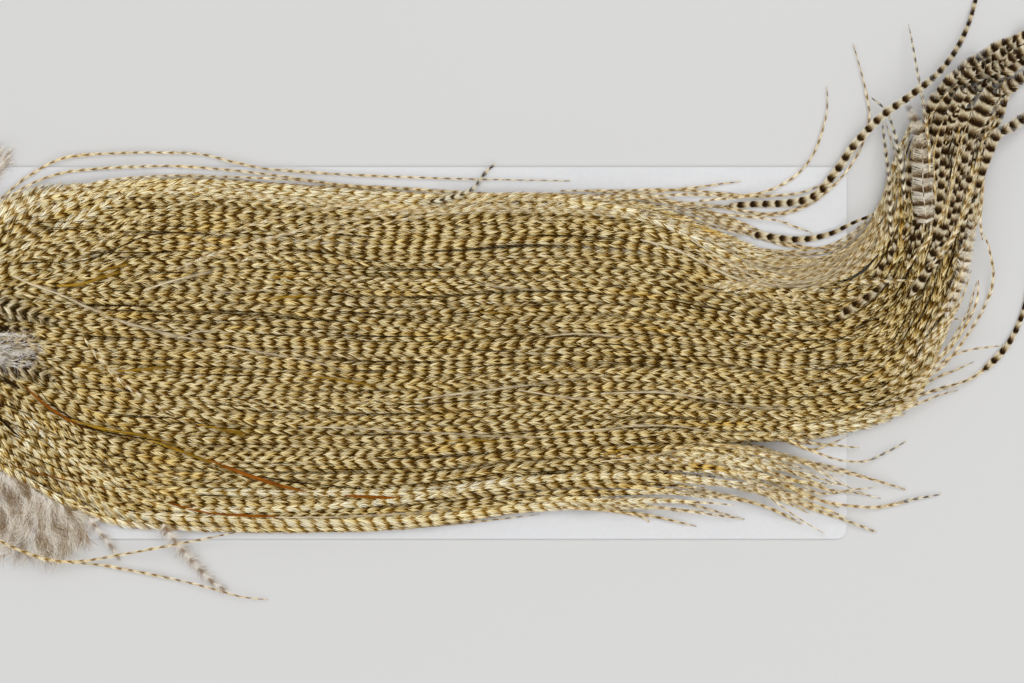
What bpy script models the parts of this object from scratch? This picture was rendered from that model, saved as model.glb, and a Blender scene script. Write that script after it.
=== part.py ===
# Rooster saddle hackle: a patch of dried skin with its long barred feathers, lying on a thin backing card.
# Metres, +Z up. The origin is the centre of the card's underside, and +X runs from the skin to the tips.
# The named sizes and points below are in millimetres, and MM turns them into metres.

import math
import random

import bmesh
import bpy
from mathutils import Vector
from mathutils.bvhtree import BVHTree

MM = 0.001
SEED = 11

# Backing card
CARD_LENGTH = 304.8
CARD_WIDTH = 101.6
CARD_THICKNESS = 0.6
CARD_CORNER = 2.7
CORNER_STEPS = 4
GAP = 0.3
CARD_TOP = CARD_THICKNESS + GAP

# Patch of dried skin that the feathers grow from
SKIN_CENTRE = (-110.0, 5.0)
SKIN_HALF_LENGTH = 37.0
SKIN_HALF_WIDTH = 25.0
SKIN_THICKNESS = 1.2
SKIN_RIM_THICKNESS = 0.7
SKIN_SEGMENTS = 30
SKIN_RINGS = (1.0, 0.8, 0.4)
SKIN_WAVES = ((3, 0.03, 0.7), (7, 0.02, 0.0))
SKIN_SQUARENESS = 0.8
SKIN_TAPER = 0.16
SKIN_CURL_HEIGHT = 1.8
SKIN_CURL_START = -134.0
SKIN_TOP = CARD_TOP + SKIN_THICKNESS + GAP

# Sheaf of long hackles, drawn as cross lines: the same place in each list is one cross line from edge to edge
INNER_EDGE = [(-126, 25), (-105.5, 27), (-89, 33), (-73, 43), (-54, 46), (-29.5, 46.5), (3.5, 44), (36, 42),
              (68.5, 42.5), (95.5, 40), (115, 33), (131, 26.5), (144.5, 25), (154.5, 29), (161, 38.5),
              (164.5, 50), (168, 60), (174.5, 71), (184, 78), (197.5, 85), (214, 93)]
CURL_OUTER_EDGE = [(-126, -6), (-105.5, -7), (-89, -10.5), (-72.5, -18), (-52.5, -25), (-29.5, -27),
                   (3.5, -27.5), (36, -27.5), (68.5, -24.5), (95.5, -23.5), (123, -23), (147.5, -21.5),
                   (168, -14), (181.5, 1), (188, 20), (189.5, 37.5), (190, 51), (192.5, 62), (196.5, 70),
                   (205, 78), (218, 85)]
LOWER_EDGE = [(-126, -15), (-105.5, -17), (-89, -23), (-71.5, -35), (-51, -45), (-29.5, -47.5), (3.5, -48),
              (36, -47), (68.5, -43), (95.5, -42.5), (117.5, -44), (136.5, -47), (153, -50), (165, -52)]
FORK = 9
FAN_TOP_EDGE = CURL_OUTER_EDGE[:FORK] + [(95.5, -23.5), (117.5, -25), (136.5, -28), (153, -33),
                                         (166.5, -36.5)]
SHEAF_CROWN = [3.6, 6.5, 8, 9, 9.5, 10, 10.5, 10.5, 10.5, 10.5, 10.5, 11, 11, 11, 11.5, 11.5, 11, 10.5,
               9.5, 8, 6]
SHEAF_UNDERSIDE = [SKIN_TOP] * 4 + [CARD_TOP] * 8 + [1, 1.4, 1.9, 2.4, 2.9, 3.3, 3.6, 3.8, 4]
SHEAF_END = len(INNER_EDGE) - 1
ROOT_BULGE = 12.0
CURL_LOCKS = 34
FAN_LOCKS = 10
CURL_SHARE = CURL_LOCKS / (CURL_LOCKS + FAN_LOCKS)
STEPS_AFTER_FORK = 15
FREE_TIP_STEPS = 4
CROWN_FLATNESS = 2.6
CROWN_SHOULDER = 0.7
FORK_BLEND = 2.0
EDGE_THICKNESS = 0.22
FAN_TIP_THICKNESS = 0.3
FAN_THINNING = 3.0
LOCK_RIDGE = 0.42
LOCK_RIDGE_LIMIT = 0.9
LOCK_LIFT = 0.7
LOCK_SWAY = 0.4
LOCK_TIP_TAPER = 1.5
FREE_LOCK_WIDTH = 0.9
FAN_LOCK_ENDS = [13, 13, 12.6, 12.6, 12, 12, 11.3, 11, 10.6, 10.2]

# Loose feathers: the points that each follows, from its base to its tip, and its widest width
VANE_STEPS = 2
VANE_THICKNESS = 0.45
VANE_SLOPE = 0.4
VANE_DIRECTION_STEP = 0.05
VANE_BASE_WIDTH = 0.45
VANE_TIP_WIDTH = 0.2
VANE_BASE_SPREAD = 1.6
VANE_TIP_SPREAD = 2.4
BROAD_END_WIDTH = 0.35
BROAD_ROUNDNESS = 0.7
TOUCH_STEP = 1.2
LONG_HACKLES = {
    "stray_hackle_01": (1.0, [(-88, 33), (-78.5, 42), (-71.5, 48), (-62, 53), (-48.5, 54.5), (-26.5, 54.5),
                              (-14.5, 52), (-3.5, 50), (19.5, 48.5), (49.5, 47.5), (77, 47)]),
    "stray_hackle_02": (1.0, [(-85, 32), (-77, 40.5), (-70, 46), (-59.5, 49.5), (-37.5, 51), (-22.5, 50.5),
                              (-7.5, 49), (14, 46), (38.5, 44.5)]),
    "stray_hackle_03": (0.9, [(-62, 43), (-51, 46.5), (-35, 48.3), (-16, 48), (3.5, 47), (25, 44.5)]),
    "stray_hackle_04": (1.6, [(38, 41), (45.5, 42.5), (50, 44.5), (52.5, 47.5), (54.5, 50), (57, 52)]),
    "stray_hackle_05": (1.0, [(74, 41.5), (95.5, 43.5), (109.5, 45), (124, 47)]),
    "stray_hackle_06": (1.2, [(85, 41.5), (106.5, 43.2), (120, 43), (131, 42.8), (140.5, 44), (147.5, 47)]),
    "stray_hackle_07": (1.0, [(112, 41.5), (123, 42.5), (131.5, 44.5), (138.5, 48.5), (143, 54),
                              (145.5, 60), (147, 66.5), (147, 73)]),
    "stray_hackle_08": (1.0, [(109.5, 38.5), (128.5, 37.5), (140, 39.5), (149, 46), (155.5, 54.5),
                              (158.5, 63.5), (157.5, 72), (154, 85)]),
    "stray_hackle_09": (0.9, [(112, 38), (131, 36.5), (139.5, 34), (143.5, 32.5)]),
    "stray_hackle_10": (1.1, [(173.5, 48.5), (173, 58), (172, 66.5), (171, 74.5), (170, 82.5), (169, 90)]),
    "stray_hackle_11": (1.4, [(163.5, 30.5), (163, 40.5), (163, 48.5), (162.5, 55), (162, 63)]),
    "stray_hackle_12": (1.4, [(167, 41.5), (166, 51), (164.5, 60), (162.5, 66), (158.5, 70)]),
    "stray_hackle_13": (1.2, [(165, -11), (177, -4), (185.5, 6), (190.5, 14), (192, 21), (190.5, 28),
                              (188.5, 33)]),
    "stray_hackle_14": (1.0, [(178.5, -0.5), (184, 7.5), (187, 14), (187.5, 20.5)]),
    "stray_hackle_15": (1.0, [(170.5, -7.5), (178, -2), (183.5, 0.5), (189.5, 1.5), (195, 2)]),
    "stray_hackle_16": (1.0, [(158.5, -16.5), (169, -14.5), (177.5, -11.5), (183.5, -10)]),
    "stray_hackle_17": (1.0, [(134, -22.5), (143.5, -24.5), (152.5, -25.5), (156, -26)]),
    "stray_hackle_18": (1.0, [(132.5, -22), (142.5, -26.5), (149.5, -29), (157, -29.5), (163.5, -27),
                              (169.5, -23.5)]),
    "stray_hackle_19": (1.2, [(123, -26.5), (138, -29.5), (153, -33), (161, -35), (169, -37.5)]),
    "stray_hackle_20": (1.3, [(125.5, -37), (139.5, -39), (151.5, -41.5), (161.5, -42), (170.5, -40),
                              (178.5, -38.5)]),
    "stray_hackle_21": (1.2, [(120, -35.5), (135, -39.5), (147.5, -44), (155.5, -47), (161, -49)]),
    "stray_hackle_22": (1.2, [(104, -38), (123, -40), (134, -43.5), (140.5, -47)]),
    "stray_hackle_23": (1.0, [(82, -41.5), (98.5, -41.8), (112, -43.5), (125, -45.5)]),
    "stray_hackle_24": (0.9, [(74, -42), (87.5, -43), (100, -44.8), (112, -47.5)]),
    "stray_hackle_25": (1.1, [(-94.5, -43), (-86.5, -47.5), (-78.5, -51), (-71.5, -54), (-63.5, -56.5),
                              (-51, -58), (-37.5, -60.5), (-24, -63.5), (-13, -66.5), (-5, -67.5)]),
    "stray_hackle_26": (1.0, [(-75.5, -52.5), (-66, -56), (-55, -56.5), (-43, -54.5), (-30.5, -52),
                              (-20, -50), (-10.5, -48)]),
    "dark_hackle_01": (2.2, [(95.5, 38.5), (112, 39.5), (124.5, 40.5), (136.5, 41), (143.5, 43), (149, 49),
                             (154.5, 57), (161, 64), (168.5, 69.5), (176.5, 76), (182, 83), (185.5, 90),
                             (187.5, 96), (189.5, 104), (190.5, 112.5)]),
    "dark_hackle_02": (2.0, [(95.5, 38), (109.5, 35.5), (120, 33.5), (129.5, 32), (139.5, 31),
                             (147.5, 32.5), (154, 35.5), (160, 38)]),
    "dark_hackle_03": (1.9, [(155.5, -14), (168, -12), (177.5, -9.5), (185, -7.5), (190.5, -4), (195, 0.5),
                             (198, 5), (200.5, 11), (202, 18), (203, 26)]),
    "dark_hackle_04": (3.1, [(186, 41.5), (189, 51.5), (192, 58.5), (196.5, 61.5), (200.5, 64), (208, 67),
                             (217.5, 71)]),
}
BROAD_FEATHERS = {
    "webby_feather_01": (5.8, [(173.5, 35), (172.5, 44.5), (172.5, 52.5), (171.5, 60), (168.5, 67.5)]),
    "webby_feather_02": (5.4, [(-100, 14), (-90, 14), (-80, 13.5), (-71, 11), (-62, 8)]),
    "webby_feather_03": (6.2, [(-98, 0), (-88, -2), (-78, -3.5), (-70, -4.5), (-62.5, -7.5)]),
    "webby_feather_04": (3.4, [(-34, -46.5), (-29.5, -53), (-25.5, -58), (-21, -62.5), (-16, -65.5)]),
    "webby_feather_05": (2.6, [(-54.5, -44.5), (-51, -49.5), (-48, -53.5), (-46, -57)]),
}

# Tufts of down that show past the sheaf's edge, as outlines and heights
TUFT_PINCH = 0.86
TUFT_RIM_THICKNESS = 0.5
TUFT_RINGS = (1.0, 0.75, 0.4)
LOWER_TUFT = [(-92, -32), (-84, -34), (-76, -39.5), (-68, -44), (-61, -47.5), (-55, -49.5), (-57, -53),
              (-61, -54.5), (-66, -58), (-73, -57), (-80, -56), (-88, -50), (-95, -41)]
UPPER_TUFT = [(-98, 36), (-91, 38), (-84, 41.5), (-78, 46.5), (-74.5, 51), (-77, 56), (-84, 55.5),
              (-92, 51), (-98, 44), (-102, 37)]
LOWER_TUFT_HEIGHT = 4.0
UPPER_TUFT_HEIGHT = 5.0

PLAIN_ROUGHNESS = 0.6
DOWN_ROUGHNESS = 0.8
DARK_ROUGHNESS = 0.5
CREAM = (0.62, 0.50, 0.27)
STRAW = (0.68, 0.58, 0.36)
DARK = (0.10, 0.07, 0.04)
GREY = (0.58, 0.54, 0.47)
HIDE = (0.45, 0.29, 0.14)
WHITE = (0.82, 0.83, 0.84)


def make_material(name, colour, roughness):
    """A plain dielectric material of one colour."""
    material = bpy.data.materials.new(name)
    material.use_nodes = True
    shader = material.node_tree.nodes["Principled BSDF"]
    shader.inputs["Base Color"].default_value = (*colour, 1.0)
    shader.inputs["Roughness"].default_value = roughness
    shader.inputs["Metallic"].default_value = 0.0
    return material


def make_object(name, bm, material):
    """Put a mesh of millimetres into the scene as an object in metres, with its faces out."""
    bmesh.ops.recalc_face_normals(bm, faces=bm.faces)
    bmesh.ops.scale(bm, vec=(MM, MM, MM), verts=bm.verts)
    mesh = bpy.data.meshes.new(name)
    bm.to_mesh(mesh)
    bm.free()
    mesh.materials.append(material)
    obj = bpy.data.objects.new(name, mesh)
    bpy.context.scene.collection.objects.link(obj)
    return obj


def along(values, t):
    """The value at place t of a list, on a smooth curve through its numbers or points."""
    last = len(values) - 1
    t = min(max(t, 0.0), float(last))
    i = min(int(t), last - 1)
    f = t - i
    points = [values[max(i - 1, 0)], values[i], values[i + 1], values[min(i + 2, last)]]
    weights = (-0.5 * f + f * f - 0.5 * f ** 3, 1 - 2.5 * f * f + 1.5 * f ** 3,
               0.5 * f + 2 * f * f - 1.5 * f ** 3, -0.5 * f * f + 0.5 * f ** 3)
    if isinstance(points[0], (int, float)):
        return sum(w * p for w, p in zip(weights, points))
    return Vector([sum(w * p[axis] for w, p in zip(weights, points)) for axis in range(len(points[0]))])


def mix(a, b, share):
    return a + (b - a) * share


# Card

def make_card():
    """The backing card, a plate with small round corners, its underside at zero."""
    outline = []
    for k, (sx, sy) in enumerate(((1, 1), (-1, 1), (-1, -1), (1, -1))):
        centre = Vector((sx * (CARD_LENGTH / 2 - CARD_CORNER), sy * (CARD_WIDTH / 2 - CARD_CORNER), 0.0))
        for step in range(CORNER_STEPS + 1):
            angle = math.pi / 2 * (k + step / CORNER_STEPS)
            outline.append(centre + CARD_CORNER * Vector((math.cos(angle), math.sin(angle), 0.0)))
    bm = bmesh.new()
    face = bm.faces.new([bm.verts.new(p) for p in outline])
    raised = bmesh.ops.extrude_face_region(bm, geom=[face])["geom"]
    top = [v for v in raised if isinstance(v, bmesh.types.BMVert)]
    bmesh.ops.translate(bm, vec=(0.0, 0.0, CARD_THICKNESS), verts=top)
    return make_object("backing_card", bm, make_material("card", WHITE, PLAIN_ROUGHNESS))


# Skin and down tufts: low domes over an outline

def make_dome(name, outline, centre, underside, height, rim, rings, lift, material):
    """A closed low dome: rings of points shrink from the outline to the centre, above and below."""
    bm = bmesh.new()
    count = len(outline)
    above = []
    below = []
    for scale in rings:
        rise = rim + (height - rim) * math.sqrt(1.0 - scale * scale)
        for side, z in ((above, rise), (below, 0.0)):
            ring = []
            for x, y in outline:
                px = mix(centre[0], x, scale)
                py = mix(centre[1], y, scale)
                ring.append(bm.verts.new((px, py, underside + z + lift(px))))
            side.append(ring)
    tips = [bm.verts.new((*centre, underside + height)), bm.verts.new((*centre, underside))]
    for side, tip in ((above, tips[0]), (below, tips[1])):
        for outer, inner in zip(side, side[1:]):
            for k in range(count):
                j = (k + 1) % count
                bm.faces.new((outer[k], outer[j], inner[j], inner[k]))
        for k in range(count):
            bm.faces.new((side[-1][k], side[-1][(k + 1) % count], tip))
    for k in range(count):
        j = (k + 1) % count
        bm.faces.new((above[0][k], above[0][j], below[0][j], below[0][k]))
    return make_object(name, bm, material)


def skin_lift(x):
    """The trimmed front rim of the dried skin curls up a little off the card."""
    past = max(SKIN_CURL_START - x, 0.0) / (SKIN_CURL_START - SKIN_CENTRE[0] + SKIN_HALF_LENGTH)
    return SKIN_CURL_HEIGHT * min(past, 1.0) ** 2


def no_lift(x):
    return 0.0


def make_skin():
    """The dried skin, an uneven oval wider at the front."""
    outline = []
    for k in range(SKIN_SEGMENTS):
        angle = math.tau * k / SKIN_SEGMENTS
        wave = 1.0 + sum(size * math.sin(turns * angle + start) for turns, size, start in SKIN_WAVES)
        square = abs(math.cos(angle)) ** SKIN_SQUARENESS, abs(math.sin(angle)) ** SKIN_SQUARENESS
        narrow = 1.0 - SKIN_TAPER * math.cos(angle)
        x = SKIN_CENTRE[0] + SKIN_HALF_LENGTH * wave * math.copysign(square[0], math.cos(angle))
        y = SKIN_CENTRE[1] + SKIN_HALF_WIDTH * wave * narrow * math.copysign(square[1], math.sin(angle))
        outline.append((x, y))
    return make_dome("saddle_skin", outline, SKIN_CENTRE, CARD_TOP, SKIN_THICKNESS, SKIN_RIM_THICKNESS,
                     SKIN_RINGS, skin_lift, make_material("hide", HIDE, PLAIN_ROUGHNESS))


def make_tuft(name, points, height, material):
    """A soft tuft of down: its outline runs through the points, pinched in between them into locks."""
    centre = tuple(sum(p[axis] for p in points) / len(points) for axis in (0, 1))
    outline = []
    for k, point in enumerate(points):
        ring = [points[(k + j) % len(points)] for j in (-1, 0, 1, 2)]
        between = Vector(centre).lerp(along(ring, 1.5), TUFT_PINCH)
        outline += [point, tuple(between)]
    return make_dome(name, outline, centre, CARD_TOP, height, TUFT_RIM_THICKNESS, TUFT_RINGS, no_lift,
                     material)


# Sheaf of locks

def sheaf_places():
    """The places along the sheaf that carry a row of points."""
    after = [FORK + (SHEAF_END - FORK) * k / STEPS_AFTER_FORK for k in range(1, STEPS_AFTER_FORK + 1)]
    return list(range(FORK + 1)) + after


def sheaf_point(t, share, in_fan):
    """The point of the sheaf's plan at place t, where share runs from the inner to the lower edge."""
    if in_fan:
        local = (share - CURL_SHARE) / (1 - CURL_SHARE)
        plan = along(FAN_TOP_EDGE, t).lerp(along(LOWER_EDGE, t), local)
    else:
        plan = along(INNER_EDGE, t).lerp(along(CURL_OUTER_EDGE, t), share / CURL_SHARE)
    bulge = ROOT_BULGE * max(1.0 - t, 0.0) * (1.0 - (2 * share - 1) ** 2)
    return plan - Vector((bulge, 0.0))


def sheaf_height(t, share, in_fan):
    """The height of the sheaf's top at place t: a rounded crown that thins toward each edge."""
    if in_fan:
        local = (share - CURL_SHARE) / (1 - CURL_SHARE)
    else:
        local = share / CURL_SHARE
    forked = min(max((t - FORK) / FORK_BLEND, 0.0), 1.0)
    across = mix(share, local, forked)
    round_off = (1.0 - abs(2 * across - 1) ** CROWN_FLATNESS) ** CROWN_SHOULDER
    crown = along(SHEAF_CROWN, t) - along(SHEAF_UNDERSIDE, t)
    if in_fan:
        crown = crown * mix(1.0, FAN_TIP_THICKNESS, min(max((t - FORK) / FAN_THINNING, 0.0), 1.0))
    return along(SHEAF_UNDERSIDE, t) + crown * mix(EDGE_THICKNESS, 1.0, round_off)


class Sheaf:
    """The locks side by side: neighbours share their edge points until one of them runs out as a free tip."""

    def __init__(self, generator):
        self.bm = bmesh.new()
        self.places = sheaf_places()
        self.count = CURL_LOCKS + FAN_LOCKS
        self.made = {}
        self.lift = [generator.uniform(-LOCK_LIFT, LOCK_LIFT) for _ in range(self.count)]
        self.wave = [generator.uniform(0.0, math.tau) for _ in range(self.count)]
        last = len(self.places) - 1
        self.end = [last - generator.randint(0, 2) for _ in range(CURL_LOCKS)]
        for place in FAN_LOCK_ENDS:
            self.end.append(min(range(last + 1), key=lambda j: abs(self.places[j] - place)))
        self.free = [end - FREE_TIP_STEPS for end in self.end]

    def in_fan(self, lock):
        return lock >= CURL_LOCKS

    def shared(self, line, row):
        """True where the two locks beside this line still share its points."""
        if line in (0, self.count):
            return False
        if line == CURL_LOCKS and self.places[row] > FORK:
            return False
        return row <= min(self.free[line - 1], self.free[line])

    def width(self, lock, row):
        """How much of its full width a lock keeps: all of it, then less toward the free tip."""
        if row <= self.free[lock]:
            return FREE_LOCK_WIDTH
        past = (row - self.free[lock]) / (self.end[lock] - self.free[lock])
        return FREE_LOCK_WIDTH * (1.0 - past ** LOCK_TIP_TAPER)

    def middle(self, lock, row):
        return sheaf_point(self.places[row], (lock + 0.5) / self.count, self.in_fan(lock))

    def edge_point(self, lock, side, row, level):
        """A point on a lock's left (0) or right (1) edge, on its top or its underside."""
        line = lock + side
        together = self.shared(line, row)
        key = ("line", line, row, level) if together else ("own", lock, side, row, level)
        if key not in self.made:
            t = self.places[row]
            owner_in_fan = self.in_fan(lock) if not together else self.in_fan(min(line, self.count - 1))
            share = line / self.count
            plan = sheaf_point(t, share, owner_in_fan)
            outer_line = line in (0, self.count) and row <= self.free[lock]
            if not together and not outer_line:
                plan = self.middle(lock, row).lerp(plan, self.width(lock, row))
            low = along(SHEAF_UNDERSIDE, t)
            z = sheaf_height(t, share, owner_in_fan) if level == "top" else low
            if row > self.free[lock] and not together:
                thin = self.width(lock, row)
                z = mix(low + EDGE_THICKNESS, z, thin) if level == "top" else low
            self.made[key] = self.bm.verts.new((plan.x, plan.y, z))
        return self.made[key]

    def ridge_point(self, lock, row):
        """The highest line of a lock, half way across it."""
        key = ("ridge", lock, row)
        if key not in self.made:
            t = self.places[row]
            plan = self.middle(lock, row)
            left = self.edge_point(lock, 0, row, "top").co
            right = self.edge_point(lock, 1, row, "top").co
            wide = (left - right).to_2d().length
            rise = min(LOCK_RIDGE * wide, LOCK_RIDGE_LIMIT)
            sway = self.lift[lock] * (1 - LOCK_SWAY + LOCK_SWAY * math.sin(self.wave[lock] + t))
            rise = rise + max(sway, -0.5 * rise) * min(wide, 1.0)
            self.made[key] = self.bm.verts.new((plan.x, plan.y, (left.z + right.z) / 2 + rise))
        return self.made[key]

    def section(self, lock, row):
        """The five points round a lock: two on top at its edges, the ridge, and two below."""
        top_left = self.edge_point(lock, 0, row, "top")
        top_right = self.edge_point(lock, 1, row, "top")
        ridge = self.ridge_point(lock, row)
        return (top_left, ridge, top_right, self.edge_point(lock, 1, row, "low"),
                self.edge_point(lock, 0, row, "low"))

    def tip(self, lock):
        row = self.end[lock]
        t = self.places[row]
        plan = self.middle(lock, row)
        return self.bm.verts.new((plan.x, plan.y, along(SHEAF_UNDERSIDE, t) + EDGE_THICKNESS))

    def build_lock(self, lock):
        """Skin one lock from the root to its tip, with a wall only where no neighbour is joined."""
        first = self.section(lock, 0)
        self.bm.faces.new(first)
        for row in range(self.end[lock] - 1):
            a = self.section(lock, row)
            b = self.section(lock, row + 1)
            open_left = not self.shared(lock, row + 1)
            open_right = not self.shared(lock + 1, row + 1)
            for k, wanted in ((0, True), (1, True), (2, open_right), (3, True), (4, open_left)):
                if wanted:
                    n = (k + 1) % 5
                    self.bm.faces.new((a[k], a[n], b[n], b[k]))
        a = self.section(lock, self.end[lock] - 1)
        tip = self.tip(lock)
        for k in range(5):
            self.bm.faces.new((a[k], a[(k + 1) % 5], tip))

    def build(self):
        for lock in range(self.count):
            self.build_lock(lock)
        return make_object("hackle_sheaf", self.bm, make_material("barred_hackle", CREAM, PLAIN_ROUGHNESS))


# Loose feathers, laid on whatever is under them

class Ground:
    """Everything made so far, as seen from above."""

    def __init__(self):
        self.trees = []

    def add(self, obj):
        bm = bmesh.new()
        bm.from_mesh(obj.data)
        self.trees.append(BVHTree.FromBMesh(bm))
        bm.free()

    def height(self, x, y):
        """The height in millimetres of the highest thing under a point, or the table's."""
        top = 0.0
        for tree in self.trees:
            hit = tree.ray_cast(Vector((x * MM, y * MM, 1.0)), Vector((0.0, 0.0, -1.0)))[0]
            if hit:
                top = max(top, hit.z / MM)
        return top


def vane_width(share, broad):
    """A feather's width along its length, as a share of its widest."""
    if broad:
        return mix(BROAD_END_WIDTH, 1.0, math.sin(math.pi * share) ** BROAD_ROUNDNESS)
    from_base = VANE_BASE_WIDTH + VANE_BASE_SPREAD * share
    from_tip = VANE_TIP_WIDTH + VANE_TIP_SPREAD * (1.0 - share)
    return min(1.0, from_base, from_tip)


def vane_stations(points):
    """Plan points along a smooth curve, with the direction across the feather at each."""
    stations = []
    steps = VANE_STEPS * (len(points) - 1)
    for k in range(steps + 1):
        t = k / VANE_STEPS
        here = along(points, t)
        ahead = along(points, t + VANE_DIRECTION_STEP) - along(points, t - VANE_DIRECTION_STEP)
        stations.append((here, Vector((-ahead.y, ahead.x)).normalized()))
    return stations


def resting_height(ground, a, b, across, half):
    """The highest thing under one stretch of a feather, sampled along and across it."""
    count = max(2, math.ceil((b - a).length / TOUCH_STEP))
    top = 0.0
    for k in range(count + 1):
        middle = a.lerp(b, k / count)
        for side in (-1.0, -0.5, 0.0, 0.5, 1.0):
            point = middle + across * (side * half)
            top = max(top, ground.height(point.x, point.y))
    return top


def make_vane(name, points, width, broad, ground, material):
    """A slim closed vane, four-sided, with a raised middle line and pointed ends."""
    stations = vane_stations(points)
    last = len(stations) - 1
    halves = [width / 2 * vane_width(k / last, broad) for k in range(last + 1)]
    reach = [resting_height(ground, stations[k][0], stations[k + 1][0], stations[k][1],
                            max(halves[k], halves[k + 1]) + GAP) for k in range(last)]
    rests = [max(reach[max(k - 1, 0)], reach[min(k, last - 1)]) + GAP for k in range(last + 1)]
    for order in (range(1, last + 1), range(last - 1, -1, -1)):
        for k in order:
            before = k - order.step
            run = (stations[k][0] - stations[before][0]).length
            rests[k] = max(rests[k], rests[before] - VANE_SLOPE * run)
    bm = bmesh.new()
    rings = []
    for k, (here, across) in enumerate(stations):
        rest = rests[k]
        if k in (0, last):
            rings.append([bm.verts.new((here.x, here.y, rest + VANE_THICKNESS / 2))])
            continue
        left = here + across * halves[k]
        right = here - across * halves[k]
        droop = VANE_THICKNESS * 0.5
        rings.append([bm.verts.new((left.x, left.y, rest + droop)),
                      bm.verts.new((here.x, here.y, rest + 2 * VANE_THICKNESS)),
                      bm.verts.new((right.x, right.y, rest + droop)),
                      bm.verts.new((here.x, here.y, rest))])
    for a, b in zip(rings, rings[1:]):
        for k in range(4):
            n = (k + 1) % 4
            corners = [a[k % len(a)], a[n % len(a)], b[n % len(b)], b[k % len(b)]]
            bm.faces.new(list(dict.fromkeys(corners)))
    obj = make_object(name, bm, material)
    ground.add(obj)
    return obj


def main():
    for obj in list(bpy.data.objects):
        bpy.data.objects.remove(obj, do_unlink=True)
    generator = random.Random(SEED)
    ground = Ground()
    down = make_material("down", GREY, DOWN_ROUGHNESS)
    straw = make_material("stray_hackle", STRAW, PLAIN_ROUGHNESS)
    dark = make_material("dark_hackle", DARK, DARK_ROUGHNESS)
    ground.add(make_card())
    ground.add(make_skin())
    ground.add(Sheaf(generator).build())
    ground.add(make_tuft("down_tuft_lower", LOWER_TUFT, LOWER_TUFT_HEIGHT, down))
    ground.add(make_tuft("down_tuft_upper", UPPER_TUFT, UPPER_TUFT_HEIGHT, down))
    for name, (width, points) in BROAD_FEATHERS.items():
        make_vane(name, points, width, True, ground, down)
    for name, (width, points) in LONG_HACKLES.items():
        make_vane(name, points, width, False, ground, dark if name.startswith("dark") else straw)


main()
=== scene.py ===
# Looks of the rooster saddle hackle: feathers made barb by barb, down, dried skin and card.
# Lengths are in millimetres until a mesh is made. +X runs along the feathers, from the skin to the tips.
import math

import bpy
import numpy as np
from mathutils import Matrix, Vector
from mathutils.bvhtree import BVHTree


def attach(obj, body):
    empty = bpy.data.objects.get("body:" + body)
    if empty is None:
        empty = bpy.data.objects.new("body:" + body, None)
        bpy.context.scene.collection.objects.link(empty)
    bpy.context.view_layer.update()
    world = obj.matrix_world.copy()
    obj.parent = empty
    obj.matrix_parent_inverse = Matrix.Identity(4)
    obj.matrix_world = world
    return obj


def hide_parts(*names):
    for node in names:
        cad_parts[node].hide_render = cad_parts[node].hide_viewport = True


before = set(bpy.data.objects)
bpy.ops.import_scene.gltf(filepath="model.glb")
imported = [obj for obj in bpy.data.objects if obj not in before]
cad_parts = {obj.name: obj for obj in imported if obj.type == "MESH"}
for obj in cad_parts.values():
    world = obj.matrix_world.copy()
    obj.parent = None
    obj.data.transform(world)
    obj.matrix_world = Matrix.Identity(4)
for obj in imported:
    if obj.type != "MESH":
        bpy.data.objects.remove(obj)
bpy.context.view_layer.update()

MM = 0.001
random = np.random.default_rng(7)

# Camera: the photo's frame, seen straight from above
PIXEL = 0.272
PHOTO_SIZE = (1024, 683)
CARD_CENTRE_PIXEL = (288, 353)
CAMERA_HEIGHT = 900.0
FOCUS_HEIGHT = 5.0
SENSOR = 36.0

# The sheaf's plan and heights, as in the solid, except that the curl's outer edge lies a little further in
CARD_TOP = 0.9
SKIN_TOP = 2.4
INNER_EDGE = [(-126, 25), (-105.5, 27), (-89, 33), (-73, 43), (-54, 46), (-29.5, 46.5), (3.5, 44), (36, 42),
              (68.5, 42.5), (95.5, 40), (115, 33), (131, 26.5), (144.5, 25), (154.5, 29), (161, 38.5),
              (164.5, 50), (168, 60), (174.5, 71), (184, 78), (197.5, 85), (214, 93)]
CURL_OUTER_EDGE = [(-126, -6), (-105.5, -7), (-89, -10.5), (-72.5, -18), (-52.5, -25), (-29.5, -27),
                   (3.5, -27.5), (36, -27.5), (68.5, -24.5), (95.5, -23.5), (123, -23), (147.5, -21.5),
                   (168, -14), (177.3, 2.2), (183.6, 20.5), (187.8, 38), (190, 51), (192.5, 62), (196.5, 70),
                   (205, 78), (218, 85)]
LOWER_EDGE = [(-126, -15), (-105.5, -17), (-89, -23), (-71.5, -35), (-51, -45), (-29.5, -47.5), (3.5, -48),
              (36, -47), (68.5, -43), (95.5, -42.5), (117.5, -44), (136.5, -47), (153, -50), (165, -52)]
FORK = 9
FAN_TOP_EDGE = CURL_OUTER_EDGE[:FORK] + [(95.5, -23.5), (117.5, -25), (136.5, -28), (153, -33),
                                         (166.5, -36.5)]
SHEAF_CROWN = [3.6, 6.5, 8, 9, 9.5, 10] + [10.5] * 5 + [11, 11, 11, 11.5, 11.5, 11, 10.5, 9.5, 8, 6]
SHEAF_UNDERSIDE = [SKIN_TOP] * 4 + [CARD_TOP] * 8 + [1, 1.4, 1.9, 2.4, 2.9, 3.3, 3.6, 3.8, 4]
SHEAF_END = len(INNER_EDGE) - 1
CURL_SHARE = 34 / 44
CROWN_FLATNESS = 2.6
CROWN_SHOULDER = 0.7
EDGE_THICKNESS = 0.22
FORK_BLEND = 2.0
FAN_THINNING = 3.0
FAN_TIP_THICKNESS = 0.3
ROOT_BULGE = 12.0

# Nothing dips closer to the table than this, in metres
LOWEST = 0.0001

# Feather map: U runs along a feather, V holds strips, each from edge to edge of a vane
MAP_LENGTH = 480.0
STRIPS = 24
STRIP_FILL = 0.42
MAP_MARGIN = 0.002


# Curves

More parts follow.
